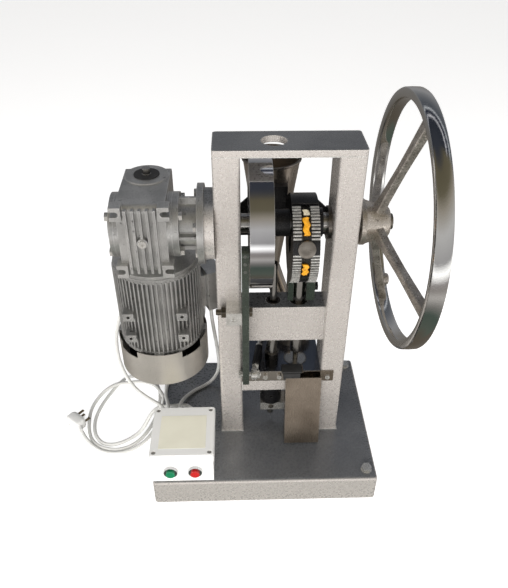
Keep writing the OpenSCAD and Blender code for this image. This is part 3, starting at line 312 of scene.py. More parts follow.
DRESS: dict[Finish, tuple[str, ...]] = {
    PAINT: ("base_cover", "left_upright", "right_upright", "top_plate", "upper_beam",
            "lower_beam", "frame_boss"),
    COWL: ("fan_cowl",),
    CAST_ALU: ("gearbox_flange", "gearbox_housing", "gearbox_cover", "motor_flange",
               "motor_body", "terminal_box"),
    CHROME: ("cam_drum", "button_bezels"),
    ROD: ("main_shaft", "ram_rod", "lift_rod", "upper_punch", "lower_punch", "worm_shaft",
          "die", "motor_rotor"),
    ZINC: ("base_bolts", "gearbox_bolts", "cap_screws", "feed_link", "pivot_block", "lift_yoke"),
    NUT: ("pivot_pin",),
    BLACK: ("shaft_sleeve", "hopper_bracket", "adjusting_nut", "fork_bolt"),
    DARK_STEEL: ("ram_fork", "eccentric"),
    LEVER: ("feed_lever",),
    RING_STEEL: ("toothed_ring", "ring_pin"),
    CHUTE: ("chute",),
    HOPPER: ("hopper", "hopper_spout", "feed_shoe"),
    TABLE: ("die_table",),
    WHITE: ("control_box", "control_lid", "mains_plug", "cable_glands"),
    GREEN: ("green_button",),
    RED: ("red_button",),
    RUBBER: ("rubber_feet", "worm_seal", "cooling_fan"),
    BUSH: ("plain_bushes",),
    BRONZE: ("worm_wheel",),
    CAST_IRON: ("wheel_spokes",),
    RIM: ("wheel_rim",),
}


# ---------------------------------------------------------------- hand tools


class Tools:
    """Modelling steps as done by hand, on pieces whose place is in their mesh."""

    @staticmethod
    def fresh() -> None:
        """Deselects everything in object mode."""
        if bpy.context.object and bpy.context.mode != "OBJECT":
            bpy.ops.object.mode_set(mode="OBJECT")
        bpy.ops.object.select_all(action="DESELECT")

    @staticmethod
    def active(piece: Piece) -> None:
        """Makes a piece the only selected one, and the active one."""
        Tools.fresh()
        piece.select_set(True)
        bpy.context.view_layer.objects.active = piece

    @staticmethod
    def place(piece: Piece, name: str, where: Matrix) -> Piece:
        """Names the piece, moves its mesh and leaves the object at the origin.

        Args:
            piece: the object just modelled.
            name: its new name.
            where: the move from the modelling place.

        Returns:
            The piece.
        """
        Tools.active(piece)
        piece.name = piece.data.name = name
        piece.matrix_world = where @ piece.matrix_world
        bpy.ops.object.transform_apply(location=True, rotation=True, scale=True)
        return piece

    @staticmethod
    def modify(piece: Piece, kind: str, **values: object) -> None:
        """Adds a modifier with these values and applies it."""
        Tools.active(piece)
        modifier = piece.modifiers.new(kind.lower(), kind)
        for key, value in values.items():
            setattr(modifier, key, value)
        bpy.ops.object.modifier_apply(modifier=modifier.name)

    @staticmethod
    def bevel(piece: Piece, width: float, segments: int = 2) -> None:
        """Rounds the sharp edges of a piece."""
        Tools.modify(piece, "BEVEL", width=width, segments=segments, limit_method="ANGLE",
                     angle_limit=math.radians(40))

    @staticmethod
    def smooth(piece: Piece, angle: float = 35.0) -> None:
        """Shades smooth where faces meet below the angle, in degrees."""
        Tools.active(piece)
        bpy.ops.object.shade_smooth_by_angle(angle=math.radians(angle))

    @staticmethod
    def block(name: str, low: Point, high: Point, round_by: float = 0.0) -> Piece:
        """Models a block between two corners, in millimetres, with rounded edges.

        Args:
            name: the piece's name.
            low: its lowest corner.
            high: its highest corner.
            round_by: the rounding of its edges.

        Returns:
            The piece.
        """
        Tools.fresh()
        middle = [(a + b) / 2 * MM for a, b in zip(low, high)]
        bpy.ops.mesh.primitive_cube_add(size=1, location=middle)
        piece = bpy.context.object
        piece.scale = [(b - a) * MM for a, b in zip(low, high)]
        Tools.place(piece, name, Matrix.Identity(4))
        if round_by:
            Tools.bevel(piece, round_by * MM, 3)
            Tools.smooth(piece)
        return piece

    @staticmethod
    def turned(
        name: str,
        profile: Profile,
        centre: Point,
        axis: Axis = Axis.Z,
        sides: int = 64,
        tube: bool = False,
    ) -> Piece:
        """Turns a profile of (radius, distance along the axis), in millimetres.

        Args:
            name: the piece's name.
            profile: the steps from one end to the other.
            centre: the point that distances start from.
            axis: the way the distances run.
            sides: how many flats the round has.
            tube: whether the profile closes on itself round an open bore.

        Returns:
            The piece.
        """
        Tools.fresh()
        radius, along = profile[0]
        bpy.ops.mesh.primitive_circle_add(
            vertices=sides, radius=radius * MM, fill_type="NOTHING" if tube else "NGON",
            location=(0, 0, along * MM),
        )
        piece = bpy.context.object
        bpy.ops.object.mode_set(mode="EDIT")
        bpy.ops.mesh.select_all(action="SELECT")
        for wide, far in profile[1:]:
            step = (0, 0, (far - along) * MM)
            if tube:
                bpy.ops.mesh.extrude_edges_move(TRANSFORM_OT_translate={"value": step})
            else:
                bpy.ops.mesh.extrude_region_move(TRANSFORM_OT_translate={"value": step})
            grow = wide / radius
            bpy.ops.transform.resize(value=(grow, grow, 1), center_override=(0, 0, far * MM))
            radius, along = wide, far
        bpy.ops.mesh.select_all(action="SELECT")
        bpy.ops.mesh.remove_doubles(threshold=0.000005)
        bpy.ops.mesh.normals_make_consistent(inside=False)
        bpy.ops.object.mode_set(mode="OBJECT")
        where = Matrix.Translation(Vector(centre) * MM) @ axis.turn()
        Tools.place(piece, name, where)
        Tools.smooth(piece)
        return piece

    @staticmethod
    def join(name: str, pieces: list[Piece]) -> Piece:
        """Joins pieces into one and returns it."""
        Tools.fresh()
        for piece in pieces:
            piece.select_set(True)
        bpy.context.view_layer.objects.active = pieces[0]
        bpy.ops.object.join()
        pieces[0].name = pieces[0].data.name = name
        return pieces[0]

    @staticmethod
    def copy(piece: Piece, move: Matrix) -> Piece:
        """Returns a copy of the piece with its own mesh, moved."""
        twin = piece.copy()
        twin.data = piece.data.copy()
        twin.data.transform(move)
        bpy.context.collection.objects.link(twin)
        return twin

    @staticmethod
    def about_x(angle: float, y: float, z: float) -> Matrix:
        """Returns the turn by an angle in degrees about a line along X, in millimetres."""
        centre = Matrix.Translation(Vector((0, y, z)) * MM)
        return centre @ Matrix.Rotation(math.radians(angle), 4, "X") @ centre.inverted()

    @staticmethod
    def dress(piece: Piece, finish: Finish) -> Piece:
        """Gives a piece one finish and returns it."""
        piece.data.materials.clear()
        piece.data.materials.append(finish.material())
        return piece


def fit(piece: Piece, finish: Finish, body: str, node: str = "") -> None:
    """Dresses a piece, rides it on a body and hides the CAD node that it replaces.

    Args:
        piece: the finished piece.
        finish: what it is made of.
        body: the body that carries it.
        node: the CAD node that it replaces, if any.
    """
    Tools.dress(piece, finish)
    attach(piece, body)
    if node:
        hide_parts(node)


def centre_of(node: str) -> Vector:
    """Returns the middle of a CAD node's box, in millimetres."""
    low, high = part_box(node)
    return (Vector(low) + Vector(high)) / 2 / MM


def ends_of(node: str) -> tuple[Vector, Vector]:
    """Returns the corners of a CAD node's box, in millimetres."""
    low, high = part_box(node)
    return Vector(low) / MM, Vector(high) / MM


# ---------------------------------------------------------------- cables

MAINS: Route = [
    (-108, -11.5, 77), (-108, -4.5, 77), (-109, 3, 76.5), (-112.5, 11, 75), (-119, 18.5, 72),
    (-128, 24, 68.5), (-140, 27, 65), (-154, 27.3, 63.3), (-166, 26.5, 63.3), (-177, 25.5, 61.4),
    (-186.5, 24, 55.8), (-194, 21.5, 47), (-201.5, 18.5, 34), (-209, 14.5, 21), (-217, 9.5, 12),
    (-227, 3, 6.5), (-239, -5, 4.3), (-255, -14, 4), (-273, -18, 4), (-291, -13, 4), (-305, 2, 4),
    (-313, 22, 4), (-316, 48, 4), (-313, 74, 4), (-306, 100, 4), (-295, 128, 4), (-280, 157, 4),
    (-262, 174, 4), (-236, 176, 4), (-211, 163, 4), (-194, 138, 4), (-188, 108, 4), (-188, 78, 4),
    (-193, 48, 4), (-202, 20, 4), (-216, -5, 4), (-234, -22, 4), (-255, -30, 4), (-276, -29, 4),
    (-297, -21, 4), (-313, -5, 4), (-323, 18, 4), (-328, 44, 4), (-330, 70, 4), (-326, 94, 5),
    (-316, 115, 8), (-301, 132, 12), (-282, 145, 12), (-260, 152, 8), (-236, 154, 8),
    (-212, 146, 10), (-194, 129, 12), (-180, 104, 9), (-179, 78, 4), (-183, 46, 4), (-193, 14, 4),
    (-209, -13, 4), (-230, -31, 4), (-254, -39, 4), (-281, -37, 4), (-305, -24, 5), (-324, -6, 9),
    (-334.1, 8.4, 13),
]
CABLE_A: Route = [
    (-93.17, 135.1, 329), (-97.4, 144.16, 329), (-106, 157.5, 327.5), (-122, 169.5, 321),
    (-146, 177, 312), (-180, 174, 296), (-212, 161, 272), (-238, 142, 240), (-254, 120, 205),
    (-258, 98, 175), (-252, 74, 148), (-238, 50, 127), (-221, 33, 112), (-204, 20.5, 104),
    (-188, 9.3, 101.5), (-172, -2, 101), (-165, -9, 101), (-161.2, -16.8, 101), (-160, -23, 101),
    (-160, -28.5, 101),
]
CABLE_V: Route = [
    (-81.76, 110.63, 278), (-81.76, 110.63, 266), (-82.5, 112, 248), (-85, 118, 220),
    (-95, 130, 160), (-115, 138, 108), (-140, 130, 76), (-158, 108, 65), (-166, 84, 63),
    (-166, 58, 63), (-162, 40, 67), (-158, 22, 73), (-153, -2, 78), (-150.5, -14, 79),
    (-150, -22, 79), (-150, -28.5, 79),
]
CABLE_B: Route = [
    (-66.55, 78, 278), (-66.55, 78, 266), (-66, 79.5, 248), (-64, 84, 220), (-59, 93, 160),
    (-57, 99, 125), (-58, 100, 101), (-63, 98, 82), (-74, 92, 68.5), (-89, 83, 63.5),
    (-106, 71, 63.5), (-119, 56, 66), (-128, 40, 70), (-132, 22, 77), (-132.5, 4, 85),
    (-132, -11, 89), (-132, -20, 89), (-132, -28.5, 89),
]


@dataclass
class Cables:
    """The mains cord with its plug and the three motor cables."""

    cord_radius: float = 3.75
    cable_radius: float = 3.5
    steps: int = 6

    def smooth_route(self, route: Route) -> list[Vector]:
        """Returns a smooth line through the route's points, in metres."""
        points = [Vector(p) * MM for p in route]
        line = []
        for i in range(len(points) - 1):
            before, start = points[max(i - 1, 0)], points[i]
            end, after = points[i + 1], points[min(i + 2, len(points) - 1)]
            for j in range(self.steps):
                t = j / self.steps
                line.append(
                    0.5
                    * (
                        2 * start
                        + (end - before) * t
                        + (2 * before - 5 * start + 4 * end - after) * t * t
                        + (3 * start - before - 3 * end + after) * t * t * t
                    )
                )
        return [*line, points[-1]]

    def tube(self, name: str, route: Route, radius: float) -> Piece:
        """Models a round cable along a route.

        Args:
            name: the piece's name.
            route: its points, in millimetres.
            radius: its radius, in millimetres.

        Returns:
            The curve piece.
        """
        line = self.smooth_route(route)
        curve = bpy.data.curves.new(name, "CURVE")
        curve.dimensions = "3D"
        curve.bevel_depth = radius * MM
        curve.bevel_resolution = 4
        curve.use_fill_caps = True
        spline = curve.splines.new("POLY")
        spline.points.add(len(line) - 1)
        for point, at in zip(spline.points, line):
            point.co = (*at, 1.0)
        spline.use_smooth = True
        piece = bpy.data.objects.new(name, curve)
        bpy.context.collection.objects.link(piece)
        return piece

    def length_of(self, route: Route) -> float:
        """Returns the length of the smooth line, in metres."""
        line = self.smooth_route(route)
        return sum((b - a).length for a, b in zip(line, line[1:]))

    def build(self) -> None:
        """Models the mains cord, its plug and the motor cables."""
        cord = self.tube("mains_cord_sheath", MAINS, self.cord_radius)
        fit(cord, SHEATH, "frame", "mains_cord")
        plug = self.plug()
        for name, route in (("a", CABLE_A), ("v", CABLE_V), ("b", CABLE_B)):
            cable = self.tube(f"motor_cable_{name}", route, self.cable_radius)
            fit(cable, SHEATH, "frame", "motor_cables")
        LOG.info("cables laid, mains cord %.3f m", self.length_of(MAINS))

    def plug(self) -> list[Piece]:
        """Models the plug's body, its grip and its three blades."""
        turn = Matrix.Translation(Vector((-352, 34, 0)) * MM) @ Matrix.Rotation(
            math.radians(-40), 4, "Z"
        )
        body = Tools.block("plug_body", (-19, -10, 2), (18, 11, 28), 0)
        Tools.bevel(body, 0.0045, 4)
        face = Tools.block("plug_face", (-15.5, 10, 4), (15.5, 13, 26), 1.4)
        ribs = [Tools.block(f"plug_rib_{i}", (-14 + 5 * i, -11, 9), (-12 + 5 * i, -9, 21), 0.8)
                for i in range(5)]
        boot = Tools.turned("plug_boot", [(7, 0), (6.2, 3), (5, 7), (4.4, 11)],
                            (0, 0, 0), Axis.X, 32)
        boot.data.transform(
            Matrix.Translation(Vector((16, -4.5, 14)) * MM) @ Matrix.Rotation(-0.24, 4, "Z")
        )
        shell = Tools.join("plug_shell", [body, face, *ribs, boot])
        Tools.smooth(shell)
        blades = [
            Tools.block(f"plug_blade_{i}", (x - 3, 12.5, z - 0.8), (x + 3, 28, z + 0.8), 0.5)
            for i, (x, z) in enumerate(((-8, 9), (-8, 21), (8, 9)))
        ]
        metal = Tools.join("plug_blades", blades)
        for piece, finish in ((shell, WHITE), (metal, BLADE)):
            piece.data.transform(turn)
            fit(piece, finish, "frame", "mains_plug")
        return [shell, metal]


# ---------------------------------------------------------------- hand wheel


@dataclass
class HandWheel:
    """The cast hand wheel with its polished rim."""

    radius: float = 200.0
    rim_width: float = 24.5
    rim_depth: float = 16.0
    spoke_angle: float = 15.0
    handle_angle: float = 294.0
    spokes: int = 4

    def build(self) -> None:
        """Models the rim, the spokes, the hub and its nut."""
        low, high = ends_of("wheel_spokes")[0], ends_of("wheel_rim")[1]
        shaft_z = centre_of("cam_drum").z
        hub = (low.x, 0.0, shaft_z)
        middle = high.x - self.rim_width / 2
        rim = self.rim(middle, shaft_z)
        web = self.web(low.x, middle, shaft_z)
        core = Tools.turned(
            "wheel_hub",
            [(30, 0), (35, 0.6), (36, 2), (36, 8), (34.6, 9.6), (31, 20), (28, 32), (25, 42),
             (23.2, 45.6), (21.5, 47)],
            hub, Axis.X, 64,
        )
        nut = Tools.turned(
            "wheel_nut", [(14, 46), (16.2, 46.6), (16.2, 48.4), (13, 49), (12.4, 52.4), (11.6, 53)],
            hub, Axis.X, 48,
        )
        for piece, finish, node in ((rim, RIM, "wheel_rim"), (web, CAST_IRON, "wheel_spokes"),
                                    (core, HUB, "wheel_spokes"), (nut, NUT, "wheel_spokes")):
            fit(piece, finish, "main_shaft", node)
        LOG.info("hand wheel built with %d spokes", self.spokes)

    def rim(self, middle: float, shaft_z: float) -> Piece:
        """Turns the rim with crowned faces.

        Args:
            middle: the rim's middle along X.
            shaft_z: the height of the shaft.

        Returns:
            The rim.
        """
        half, outer, inner = self.rim_width / 2, self.radius, self.radius - self.rim_depth
        section = [(outer - 4, -half), (outer - 1.6, -half + 0.8), (outer - 0.4, -half + 3),
                   (outer, 0), (outer - 0.4, half - 3), (outer - 1.6, half - 0.8),
                   (outer - 4, half), (inner + 4, half - 0.2), (inner + 1.2, half - 1.8),
                   (inner, half - 5), (inner, 5 - half), (inner + 1.2, 1.8 - half),
                   (inner + 4, 0.2 - half), (outer - 4, -half)]
        return Tools.turned("wheel_rim", section, (middle, 0, shaft_z), Axis.X, 160, tube=True)

    def web(self, hub_x: float, middle: float, shaft_z: float) -> Piece:
        """Models the tapered cast spokes and the handle boss, joined.

        Args:
            hub_x: where the hub starts along X.
            middle: the rim's middle along X.
            shaft_z: the height of the shaft.

        Returns:
            The spokes in one piece.
        """
        reach, root = self.radius - self.rim_depth + 2, 20.0
        rise = middle - (hub_x + 27)
        length = math.hypot(reach - root, rise)
        spoke = Tools.block("wheel_web", (-6.5, 0, -9.5), (6.5, length, 9.5))
        Tools.active(spoke)
        bpy.ops.object.mode_set(mode="EDIT")
        bpy.ops.mesh.select_all(action="SELECT")
        bpy.ops.mesh.subdivide(number_cuts=5)
        bpy.ops.object.mode_set(mode="OBJECT")
        for vertex in spoke.data.vertices:
            t = vertex.co.y / (length * MM)
            waist = 1.0 - 0.22 * math.sin(math.pi * min(1.0, t * 1.02))
            waist += 0.28 * max(0.0, 0.14 - t) / 0.14
            vertex.co.z *= waist
            vertex.co.x *= 0.9 + 0.15 * abs(2 * t - 1)
        Tools.bevel(spoke, 0.0032, 3)
        lean = Matrix.Rotation(-math.atan2(rise, reach - root), 4, "Z")
        spoke.data.transform(
            Matrix.Translation(Vector((hub_x + 27, root, shaft_z)) * MM) @ lean
        )
        turns = [self.spoke_angle + 360 / self.spokes * k for k in range(self.spokes)]
        arms = [Tools.copy(spoke, Tools.about_x(turn, 0, shaft_z)) for turn in turns]
        bpy.data.objects.remove(spoke)
        seat = self.radius - self.rim_depth - 9
        turn = math.radians(self.handle_angle)
        boss = Tools.turned(
            "handle_boss",
            [(9.6, -9.5), (10.8, -8.4), (11, 8), (10, 11), (8.6, 12.2), (4.2, 12.2), (4, 0)],
            (middle, seat * math.cos(turn), shaft_z + seat * math.sin(turn)), Axis.X, 40,
        )
        web = Tools.join("wheel_web", [*arms, boss])
        Tools.smooth(web, 50)
        return web


# ---------------------------------------------------------------- toothed ring


@dataclass
class PunchRing:
    """The toothed ring on the shaft, with its pin, grease and groove."""

    radius: float = 71.0
    tooth: float = 2.2
    width: float = 41.0
    bore: float = 57.5
    groove: float = 13.0
    first: float = -60.0
    last: float = 76.0
    pin_angle: float = 17.5
    pin_half: float = 9.0
    pitch: float = 4.25

    def at(self, angle: float, radius: float) -> tuple[float, float]:
        """Returns (y, z) from the ring's centre, with 0 degrees to the front and 90 up."""
        turn = math.radians(angle)
        return -radius * math.cos(turn), radius * math.sin(turn)

    def build(self) -> None:
        """Models the ring's body, cheeks, teeth, smooth arcs, grease and pin."""
        low, high = ends_of("toothed_ring")
        self.x = (low.x + high.x) / 2
        self.z = (low.z + high.z) / 2
        half, groove = self.width / 2, self.groove / 2
        root = self.radius - self.tooth
        floor = root - 1.2
        body = Tools.turned(
            "ring_body",
            [(self.bore, -half + 4), (self.bore, half - 4), (24, half - 4), (24, half - 1),
             (root - 5, half - 0.4), (root, half), (root, groove), (floor, groove),
             (floor, -groove), (root, -groove), (root, -half), (root - 5, 0.4 - half),
             (24, 1 - half), (24, 4 - half), (self.bore, -half + 4)],
            (self.x, 0, self.z), Axis.X, 120, tube=True,
        )
        teeth = self.teeth(root, half, groove)
        arcs = self.arcs(root, half)
        for piece, finish in ((body, RING_STEEL), (teeth, TOOTH), (arcs, BLACK)):
            fit(piece, finish, "ram", "toothed_ring")
        for index, (start, end, finish) in enumerate(
            ((33, 57, GREASE), (-23, -4, GREASE), (60, 68, OLD_GREASE))
        ):
            grease = self.smear(f"ring_grease_{index}", start, end, groove)
            fit(grease, finish, "ram", "toothed_ring")
        self.pin()
        LOG.info("toothed ring built at x %.1f, z %.1f", self.x, self.z)

    def teeth(self, root: float, half: float, groove: float) -> Piece:
        """Returns the two bands of teeth, left out beside the pin."""
        tooth = Tools.block("ring_teeth", (groove + 0.6, -root - self.tooth, -1.6),
                            (half - 0.2, -root + 0.8, 1.6))
        Tools.bevel(tooth, 0.0008, 2)
        twin = Tools.copy(tooth, Matrix.Translation((-(half + groove + 0.4) * MM, 0, 0)))
        pair = Tools.join("ring_teeth", [tooth, twin])
        angle, made = self.first, []
        while angle < self.last:
            if abs(angle - self.pin_angle) > self.pin_half:
                turn = Matrix.Translation(Vector((self.x, 0, self.z)) * MM) @ Matrix.Rotation(
                    -math.radians(angle), 4, "X"
                )
                made.append(Tools.copy(pair, turn))
            angle += self.pitch
        bpy.data.objects.remove(pair)
        teeth = Tools.join("ring_teeth", made)
        Tools.smooth(teeth)
        return teeth

    def arc(self, name: str, start: float, end: float, inner: float, outer: float,
            half: float, steps: int) -> Piece:
        """Spins a small rectangle round the ring's axis.

        Args:
            name: the piece's name.
            start: the first angle in degrees.
            end: the last angle in degrees.
            inner: the inner radius.
            outer: the outer radius.
            half: half the width along X.
            steps: how many steps the turn takes.

        Returns:
            The arc.
        """
        Tools.fresh()
        bpy.ops.mesh.primitive_plane_add(size=1)
        piece = bpy.context.object
        piece.scale = (2 * half * MM, (outer - inner) * MM, 1)
        Tools.place(piece, name, Matrix.Translation((0, -(outer + inner) / 2 * MM, 0)))
        piece.data.transform(Matrix.Rotation(-math.radians(start), 4, "X"))
        Tools.active(piece)
        bpy.ops.object.mode_set(mode="EDIT")
        bpy.ops.mesh.select_all(action="SELECT")
        bpy.ops.mesh.spin(steps=steps, angle=math.radians(end - start), center=(0, 0, 0),
                          axis=(1, 0, 0))
        bpy.ops.mesh.select_all(action="SELECT")
        bpy.ops.mesh.normals_make_consistent(inside=False)
        bpy.ops.object.mode_set(mode="OBJECT")
        piece.data.transform(Matrix.Translation(Vector((self.x, 0, self.z)) * MM))
        return piece

    def arcs(self, root: float, half: float) -> Piece:
        """Returns the smooth black arcs: the ring's back and top, and the flat by the pin."""
        back = self.arc("ring_back", self.last + 1, 360 + self.first - 3, root - 1, self.radius,
                        half, 90)
        flat = self.arc("ring_flat", self.pin_angle - self.pin_half, self.pin_angle + self.pin_half,
                        root - 1, self.radius - 0.3, half - 0.2, 12)
        joined = Tools.join("ring_arcs", [back, flat])
        Tools.bevel(joined, 0.0006, 2)
        Tools.smooth(joined)
        return joined

    def smear(self, name: str, start: float, end: float, groove: float) -> Piece:
        """Returns a lump of grease in the groove, uneven along its length."""
        smear = self.arc(name, start, end, self.radius - 5, self.radius + 0.2, groove * 0.8,
                         max(6, int(end - start)))
        Tools.modify(smear, "SUBSURF", levels=2, render_levels=2)
        for vertex in smear.data.vertices:
            wave = math.sin(vertex.co.z * 900) * math.cos(vertex.co.x * 1100 + vertex.co.z * 300)
            middle = Vector((self.x * MM, 0, self.z * MM))
            away = Vector((0, vertex.co.y, vertex.co.z - middle.z)).normalized()
            vertex.co += away * wave * 0.0007
            vertex.co.x += math.sin(vertex.co.z * 620) * 0.0012
        Tools.smooth(smear, 80)
        return smear

    def pin(self) -> None:
        """Models the pin's turned head and shank."""
        head = Tools.turned(
            "ring_pin_head",
            [(6, 10), (6, 0.2), (13, 0.2), (13.5, -0.6), (13.5, -4.8), (13.2, -5.5), (12.6, -5.8),
             (6, -5.6), (1.2, -5.4)],
            (0, 0, 0), Axis.Y, 72,
        )
        turn = (
            Matrix.Translation(Vector((self.x, 0, self.z)) * MM)
            @ Matrix.Rotation(-math.radians(self.pin_angle), 4, "X")
            @ Matrix.Translation((0, -self.radius * MM, 0))
        )
        head.data.transform(turn)
        fit(head, PIN_FACE, "ram", "ring_pin")


# ---------------------------------------------------------------- small pieces


@dataclass
class Trim:
    """The welds, screws, nuts, marks and plates that the frame's solids carry."""

    bead: float = 2.6
    screw_sides: int = 28
    mark_heights: tuple[float, ...] = (474.0, 460.0, 446.0)
    made: list[str] = field(default_factory=list)

    def add(self, piece: Piece, finish: Finish, body: str, slot: str) -> None:
        """Dresses a piece and rides it on a body."""
        fit(piece, finish, body)
        self.made.append(piece.name)

    def socket_screw(self, name: str, at: Point, radius: float, height: float,
                     axis: Axis = Axis.NEG_Y) -> Piece:
        """Turns a screw head with a sunk socket.

        Args:
            name: the piece's name.
            at: the middle of the face that it sits on, in millimetres.
            radius: the head's radius.
            height: the head's height.
            axis: the way that it points.

        Returns:
            The screw head.
        """
        profile = [(radius * 1.5, 0), (radius * 1.5, 0.7), (radius * 1.02, 0.8),
                   (radius, height * 0.85), (radius * 0.86, height), (radius * 0.55, height),
                   (radius * 0.5, height * 0.4), (0.3, height * 0.4)]
        return Tools.turned(name, profile, at, axis, self.screw_sides)

    def weld(self, name: str, low: Point, high: Point) -> Piece:
        """Models a weld bead between two corners, with a light ripple along it."""
        bead = Tools.block(name, low, high)
        span = [b - a for a, b in zip(low, high)]
        cuts = max(8, int(max(span) / 2.2))
        Tools.active(bead)
        bpy.ops.object.mode_set(mode="EDIT")
        bpy.ops.mesh.select_all(action="SELECT")
        along = span.index(max(span))
        long_edges = Vector([1.0 if i == along else 0.0 for i in range(3)])
        bpy.ops.object.mode_set(mode="OBJECT")
        for edge in bead.data.edges:
            a, b = (bead.data.vertices[i].co for i in edge.vertices)
            edge.select = abs((b - a).normalized().dot(long_edges)) > 0.9
        bpy.ops.object.mode_set(mode="EDIT")
        bpy.ops.mesh.select_mode(type="EDGE")
        bpy.ops.mesh.subdivide(number_cuts=cuts)
        bpy.ops.object.mode_set(mode="OBJECT")
        middle = Vector([(a + b) / 2 * MM for a, b in zip(low, high)])
        for vertex in bead.data.vertices:
            swell = 0.86 + 0.14 * math.sin(vertex.co[along] / MM * 2.1)
            for i in range(3):
                if i != along:
                    vertex.co[i] = middle[i] + (vertex.co[i] - middle[i]) * swell
        Tools.bevel(bead, 0.0007, 2)
        Tools.smooth(bead, 60)
        return bead

    def welds(self) -> None:
        """Runs beads round the uprights' feet and up the beams' ends."""
        runs: list[tuple[str, Point, Point]] = []
        b = self.bead
        for side in ("left", "right"):
            low, high = ends_of(f"{side}_upright")
            foot, crest = low.z - 0.4, low.z + b
            for name, y in (("front", low.y), ("back", high.y)):
                runs.append((f"foot_{side}_{name}", (low.x - 1, y - b / 2, foot),
                             (high.x + 1, y + b / 2, crest)))
            for name, x in (("outer", low.x), ("inner", high.x)):
                runs.append((f"foot_{side}_{name}", (x - b / 2, low.y, foot),
                             (x + b / 2, high.y, crest)))
        for beam in ("upper_beam", "lower_beam"):
            low, high = ends_of(beam)
            for name, x in (("left", low.x), ("right", high.x)):
                runs.append((f"{beam}_{name}", (x - 1.1, low.y - 0.9, low.z + 1),
                             (x + 1.1, low.y + 1.1, high.z - 1)))
        low, high = ends_of("top_plate")
        for name, y in (("front", low.y), ("back", high.y)):
            runs.append((f"top_{name}", (low.x + 4, y - 0.5, low.z - 0.9),
                         (high.x - 4, y + 0.6, low.z + 0.9)))
        beads = [self.weld(*run) for run in runs]
        self.add(Tools.join("weld_beads", beads), WELD, "frame", "paint")

    def table_front(self) -> None:
        """Models the pad before the die, the strip at its side and the die's seat."""
        low, high = ends_of("die_table")
        left = ends_of("chute")[0].x - 7
        pad = Tools.block("chute_pad", (left, low.y - 7, high.z + 0.2),
                          (left + 36, low.y + 15, high.z + 4), 1.2)
        lip = Tools.block("chute_pad_lip", (left + 3, low.y - 9.5, high.z - 12),
                          (left + 33, low.y - 1, high.z + 1.5), 1.0)
        self.add(Tools.join("chute_pad", [pad, lip]), RUBBER, "frame", "black")
        strip = Tools.block("pad_strip", (left + 36.4, low.y - 6, high.z + 0.2),
                            (left + 38.4, low.y + 14, high.z + 3.2), 0.6)
        self.add(strip, CHUTE, "frame", "stainless")
        die_low, die_high = ends_of("die")
        middle = (die_low + die_high) / 2
        radius = (die_high.x - die_low.x) / 2
        inner, outer, base, top = radius - 0.4, radius + 1.4, 0.02, 0.35
        seat = Tools.turned("die_seat", [(inner, base), (outer, base), (outer, top), (inner, top),
                                         (inner, base)],
                            (middle.x, middle.y, high.z), Axis.Z, 72, tube=True)
        self.add(seat, BUSH, "frame", "steel")

    def pivot(self) -> None:
        """Puts the clamping screw on the pivot block and the marks on the lever."""
        low, high = ends_of("pivot_block")
        at = ((low.x + high.x) / 2 - 1, low.y, (low.z + high.z) / 2 - 1)
        screw = self.socket_screw("pivot_clamp_screw", at, 3.6, 3.4)
        self.add(screw, ZINC, "frame", "zinc")
        low, high = ends_of("feed_lever")
        face, middle = low.y, (low.x + (low.x + 11.3)) / 2
        marks = [
            Tools.turned(f"lever_mark_{i}", [(2.9, 0), (2.8, 0.25), (1.4, 0.4), (0.3, 0.15)],
                         (middle, face, z), Axis.NEG_Y, 24)
            for i, z in enumerate(self.mark_heights)
        ]
        self.add(Tools.join("lever_marks", marks), LEVER_MARK, "lever", "steel")

    def link(self) -> None:
        """Models the turnbuckle's sleeve, its lock nuts and the eye over the link."""
        low, high = ends_of("feed_link")
        start = Vector((low.x + 27, low.y + 9, (low.z + high.z) / 2))
        shoe_low, shoe_high = ends_of("feed_shoe")
        end = Vector((start.x + 17.5, (shoe_low.y + shoe_high.y) / 2, start.z + 1))
        run = end - start
        aim = run.normalized().to_track_quat("Z", "Y").to_matrix().to_4x4()
        sleeve_from, sleeve_to = run.length * 0.19, run.length * 0.63
        sleeve = Tools.turned(
            "link_sleeve",
            [(5.2, sleeve_from), (6.7, sleeve_from + 1.2), (6.7, sleeve_to - 1.2),
             (5.2, sleeve_to)],
            (0, 0, 0), Axis.Z, 36,
        )
        nuts = [
            Tools.turned(f"link_nut_{i}",
                         [(5.6, at), (6.6, at + 0.7), (6.6, at + 4), (5.6, at + 4.7)],
                         (0, 0, 0), Axis.Z, 6)
            for i, at in enumerate((sleeve_from - 5.2, sleeve_to + 0.4))
        ]
        place = Matrix.Translation(start * MM) @ aim
        lock = Tools.join("link_nuts", nuts)
        for piece in (sleeve, lock):
            piece.data.transform(place)
        eye = Tools.turned(
            "link_eye", [(6.2, -5.6), (8.6, -5.6), (9.6, -4), (9.6, 4), (8.6, 5.6), (6.2, 5.6),
                         (6.2, -5.6)],
            tuple(start), Axis.X, 40, tube=True,
        )
        for piece, finish in ((sleeve, BLACK), (lock, ZINC), (eye, ZINC)):
            self.add(piece, finish, "shoe", "zinc")

    def yoke(self) -> None:
        """Puts the clamping screw on the yoke's front."""
        low, high = ends_of("lift_yoke")
        screw = self.socket_screw("yoke_screw", (low.x + 20, low.y, (low.z + high.z) / 2), 3.4, 3.0)
        self.add(screw, NUT, "lift", "zinc")

    def box_trim(self) -> None:
        """Lays a plain sticker on the lid."""
        low, high = ends_of("control_lid")
        sticker = Tools.block("plain_sticker", (low.x + 15, low.y + 16, high.z),
                              (high.x - 15, high.y - 22, high.z + 0.35))
        self.add(sticker, STICKER, "frame", "white")
        Tools.bevel(sticker, 0.00012, 2)

